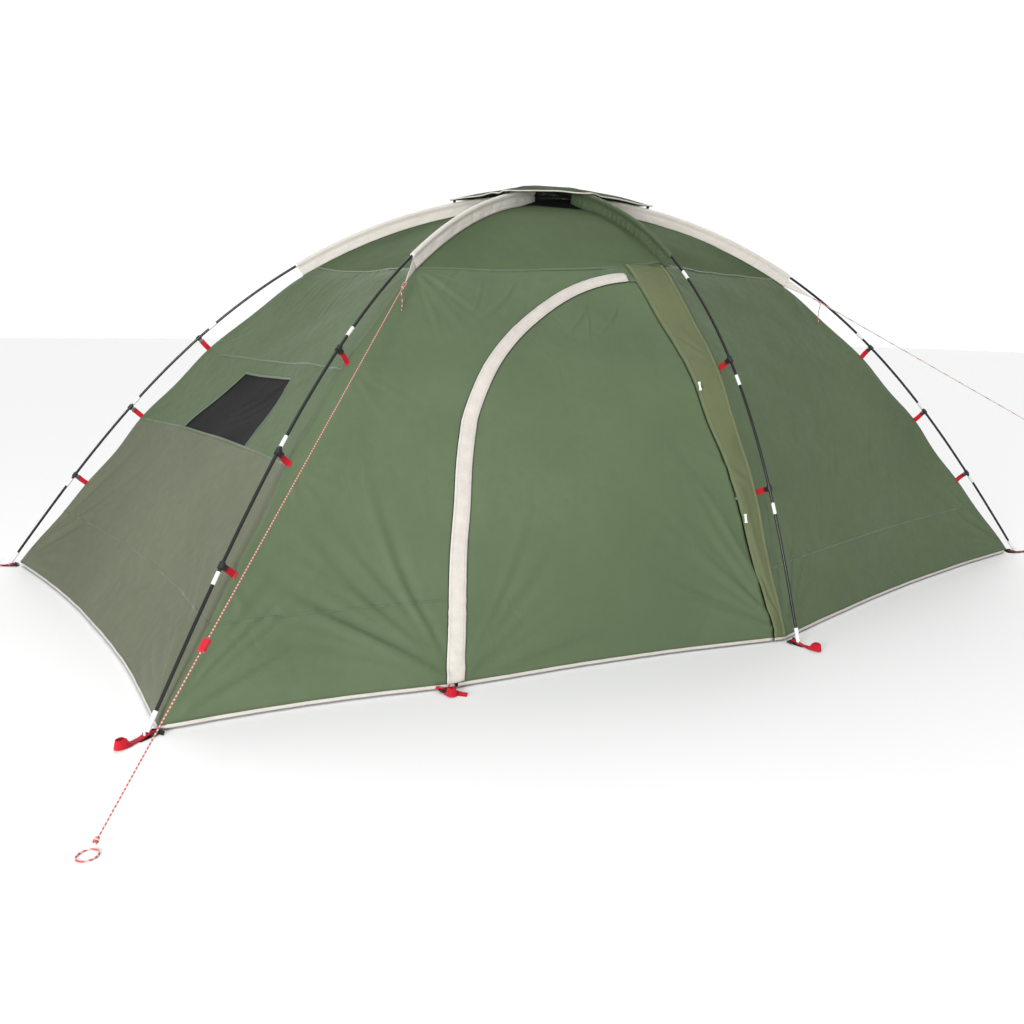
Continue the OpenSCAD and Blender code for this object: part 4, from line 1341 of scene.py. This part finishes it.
def add_feet():
    loops, blacks, locks = [], [], []
    for i in range(6):
        out = out_dir(i)
        side = side_dir(i)
        at = out * REACH[i]
        loops.append(peg_loop_webbing(at + out * 0.021, out))
        red = bent_line([at + out * -0.030 + [0, 0, 0.0105], at + out * -0.012 + [0, 0, 0.0085],
                         at + out * 0.010 + [0, 0, 0.0040], at + out * 0.024 + [0, 0, 0.0030]], 18)
        loops.append(webbing("tongue", red, side, 0.018, 0.0016, "red"))
        inner = bent_line([at - out * 0.040 + [0, 0, 0.0011], at - out * 0.010 + [0, 0, 0.0011],
                           at + out * 0.020 + [0, 0, 0.0011]], 12)
        blacks.append(webbing("strap", inner, side, 0.0245, 0.0017, "black_web"))
        tail = bent_line([at - out * 0.024 + [0, 0, 0.010], at - out * 0.034 + side * 0.010 + [0, 0, 0.008],
                          at - out * 0.038 + side * 0.026 + [0, 0, 0.004]], 14)
        blacks.append(webbing("tail", tail, [0.2, 0.1, 1.0], 0.012, 0.0015, "black_web"))
        locks += buckle(at - out * 0.022 + [0, 0, 0.0055], out)
    for x, y, way in MID_LOOPS:
        out = np.array([0, way * 1.0, 0])
        side = np.cross(UP, out)
        at = np.array([x, y, 0]) + out * 0.005
        loops.append(peg_loop_webbing(at + out * 0.002, out, 0.056))
        for turn in (-1, 1):
            arm = bent_line([at + side * turn * 0.021 + [0, 0, 0.014] - out * 0.002,
                             at + side * turn * 0.013 + [0, 0, 0.0085] + out * 0.005,
                             at + side * turn * 0.003 + [0, 0, 0.0045] + out * 0.014], 14)
            lean = norm_rows(UP + side * turn * 0.5)
            loops.append(webbing("arm", arm, lean, 0.013, 0.0016, "red"))
        tail = bent_line([at + out * 0.012 + [0, 0, 0.0075], at + out * 0.030 + side * 0.010 + [0, 0, 0.006],
                          at + out * 0.052 + side * 0.022 + [0, 0, 0.0035],
                          at + out * 0.068 + side * 0.034 + [0, 0, 0.0025]], 20)
        lean = norm_rows(side * 0.8 + np.array([0, 0, 0.45]))
        loops.append(webbing("tail", tail, lean, 0.015, 0.0015, "red"))
        locks += buckle(at + out * 0.014 + [0, 0, 0.0070], out)
    for name, parts, node, slot in (("peg_webbing", loops, "peg_loops", "red_webbing"),
                                    ("foot_webbing", blacks, "foot_straps", "black_webbing"),
                                    ("ladder_locks", locks, "foot_buckles", "black_plastic")):
        finish_joined(name, parts, node, name != "ladder_locks")


def add_guy_tabs():
    """Doubled triangles of cloth from the sleeves' ends, with a loop of cord for each guy line."""
    tabs, loops = [], []
    for i, g in ((1, GUY_L), (3, GUY_R)):
        way = guy_way(g)
        a = pole_at(i, SLEEVE_TO[i] + 0.0005, -0.011)
        b = pole_at(i, SLEEVE_TO[i] + 0.0005, 0.001 - GAP_TOP)
        c = g[0] - way * 0.010
        rows = []
        for f in np.linspace(0, 1, 18):
            p, q = a + (c - a) * f, b + (c - b) * f
            width = 1 - 0.06 * f
            across = np.linspace(0.5 - 0.5 * width, 0.5 + 0.5 * width, 8)[:, None]
            curve = 0.006 * math.sin(math.pi * f)
            row = p * (1 - across) + q * across + UP * curve * np.sin(np.pi * across)
            rows.append(row + way * 0.004 * (0.5 - across) * f)
        pts = np.array(rows)
        tab = grid_mesh("tab", pts, band_uv(pts))
        thicken(tab, 0.0018, 0)
        apply_modifiers(tab)
        tab.data.materials.append(M["cream_cloth"])
        tabs.append(tab)
        side = norm_rows(np.cross(way, UP))
        ang = np.linspace(0, 2 * np.pi, 36)
        ring = g[0] + np.outer(np.cos(ang) * 0.014 - 0.002, way) + np.outer(np.sin(ang) * 0.005, side)
        loops.append(loft("ring", tube_points(ring, 0.0018, 8)[:-1], closed=True))
        hang = bent_line([g[0] + way * 0.013, g[0] + way * 0.016 + side * 0.004 + [0, 0, -0.012],
                          g[0] + way * 0.010 + side * 0.003 + [0, 0, -0.045],
                          g[0] + way * 0.014 + side * 0.006 + [0, 0, -0.085]], 30)
        loops.append(loft("hang", tube_points(hang, 0.00165, 8, up=(1, 0.3, 0))))
        turns = [g[0] + way * (0.010 + 0.009 * t) + side * 0.0034 * math.cos(18 * t)
                 + np.cross(way, side) * 0.0034 * math.sin(18 * t) for t in np.linspace(0, 1, 40)]
        loops.append(loft("knot", tube_points(np.array(turns), 0.0016, 8)))
    for o in loops:
        o.data.materials.append(M["cord_left"])
    for name, parts, node, slot in (("guy_tab_cloth", tabs, "guy_tabs", "cream_cloth"),
                                    ("guy_loops", loops, "guy_rings", "guy_cord")):
        finish_joined(name, parts, node, True)


def add_floor_sheet():
    n = 140
    r = np.linspace(0.0, 1.0, 46)[:, None]
    v = np.linspace(0, 6, n, endpoint=False)
    rim = around(v, np.ones_like(v), 0.016) * 0.985
    pts = np.zeros((46, n, 3))
    pts[..., 0], pts[..., 1] = r * rim[:, 0], r * rim[:, 1]
    wrinkle = (0.0010 * waves(pts[..., 0], pts[..., 1], 0.30, 91)
               + 0.0005 * waves(pts[..., 0], pts[..., 1], 0.09, 92))
    pts[..., 2] = 0.0026 + np.clip(wrinkle, -0.0016, 0.004) * smooth(np.minimum(1 - r, 1) / 0.03)
    obj = grid_mesh("floor_cloth", pts[1:], None, wrap=True)
    bm = bmesh.new()
    bm.from_mesh(obj.data)
    hub = bm.verts.new((0, 0, 0.0026))
    bm.verts.ensure_lookup_table()
    for j in range(n):
        bm.faces.new((bm.verts[(j + 1) % n], hub, bm.verts[j]))
    bmesh.ops.recalc_face_normals(bm, faces=bm.faces)
    bm.to_mesh(obj.data)
    bm.free()
    area = area_of(obj)
    thicken(obj, 0.0008)
    finish_piece(obj, M["floor"], "tent", ["groundsheet"])
    declare_sheet(obj, 3.75, 2.60, "laid", ["ground"], min(area, 9.7))


add_plain_walls()
add_left_wall()
add_front_left_wall()
add_door()
add_storm_flap()
add_zip()
add_side_strip()
add_crown()
add_rain_cap()
add_hems()
add_poles()
add_sleeves()
add_clip_straps()
add_feet()
add_guy_tabs()
add_floor_sheet()


def dress_cad_nodes():
    """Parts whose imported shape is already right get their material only."""
    for node, mat in (("pole_ferrules", "ferrule"), ("pole_tips", "ferrule"), ("clip_hooks", "black"),
                      ("toggle_loop_upper", "black_web"), ("toggle_loop_lower", "black_web"),
                      ("toggle_upper", "white"), ("toggle_lower", "white"), ("tensioner_left", "lok"),
                      ("tensioner_right", "lok"), ("zip_slider", "zip"), ("zip_pull", "red"),
                      ("cap_ties", "black_web")):
        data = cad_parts[node].data
        data.materials.clear()
        data.materials.append(M[mat])


dress_cad_nodes()


# ---------------------------------------------------------------- floor and light
def add_stage():
    bpy.ops.mesh.primitive_plane_add(size=80, location=(0, 0, -0.0006))
    floor = bpy.context.object
    floor.name = "studio_floor"
    n = Nodes("studio_floor")
    n.surface(color=(FLOOR_WHITE, FLOOR_WHITE, FLOOR_WHITE, 1), rough=0.9, specular=0.0)
    floor.data.materials.append(n.mat)


def area_light(name, place, aim, size, power, color=(1, 1, 1)):
    light = bpy.data.lights.new(name, "AREA")
    light.shape = "DISK"
    light.size = size
    light.energy = power
    light.color = color
    obj = add_object(name, light)
    obj.location = place
    way = Vector(aim) - Vector(place)
    obj.rotation_euler = way.to_track_quat("-Z", "Y").to_euler()


FLOOR_WHITE = 0.92
HORIZON, ZENITH, SIDE_DIM = 1.04, 0.50, 0.55
SUN, TOP_SUN = 1.4, 0.7
KEY = 190


BAND_TOP, SIDE_BAND, TO_SIDE = (0.30, 0.62), (0.50, 0.85), (0.82, -0.57, 0)


def soft_step(tree, value, start_stop, levels):
    """Smooth change between two levels as the value goes from start to stop."""
    step = tree.nodes.new("ShaderNodeMapRange")
    step.interpolation_type = "SMOOTHSTEP"
    step.inputs["From Min"].default_value, step.inputs["From Max"].default_value = start_stop
    step.inputs["To Min"].default_value, step.inputs["To Max"].default_value = levels
    tree.links.new(value, step.inputs["Value"])
    return step.outputs["Result"]


def add_light():
    """White studio: a bright band round the horizon, dimmer ceiling and sides, and broad soft lamps."""
    world = bpy.data.worlds.new("studio")
    world.use_nodes = True
    tree = world.node_tree
    back = tree.nodes["Background"]
    where = tree.nodes.new("ShaderNodeTexCoord")
    parts = tree.nodes.new("ShaderNodeSeparateXYZ")
    tree.links.new(where.outputs["Generated"], parts.inputs[0])
    fade = soft_step(tree, parts.outputs["Z"], BAND_TOP, (HORIZON, ZENITH))
    side = tree.nodes.new("ShaderNodeVectorMath")
    side.operation = "DOT_PRODUCT"
    side.inputs[1].default_value = TO_SIDE
    tree.links.new(where.outputs["Generated"], side.inputs[0])
    size = tree.nodes.new("ShaderNodeMath")
    size.operation = "ABSOLUTE"
    tree.links.new(side.outputs["Value"], size.inputs[0])
    dim = soft_step(tree, size.outputs[0], SIDE_BAND, (1.0, 1 - SIDE_DIM))
    both = tree.nodes.new("ShaderNodeMath")
    both.operation = "MULTIPLY"
    tree.links.new(fade, both.inputs[0])
    tree.links.new(dim, both.inputs[1])
    tree.links.new(both.outputs[0], back.inputs["Strength"])
    back.inputs["Color"].default_value = (1, 1, 1, 1)
    bpy.context.scene.world = world
    for name, power, angle, way in (("back_light", SUN, 38, (-0.50, -0.72, -0.62)),
                                    ("top_light", TOP_SUN, 50, (0.05, 0.30, -1.0))):
        sun = bpy.data.lights.new(name, "SUN")
        sun.energy = power
        sun.angle = math.radians(angle)
        add_object(name, sun).rotation_euler = Vector(way).to_track_quat("-Z", "Y").to_euler()
    area_light("key", (-4.9, -3.8, 1.3), (-0.6, -0.8, 0.6), 1.5, KEY)


add_stage()
add_light()
bpy.context.scene.view_settings.view_transform = "Standard"
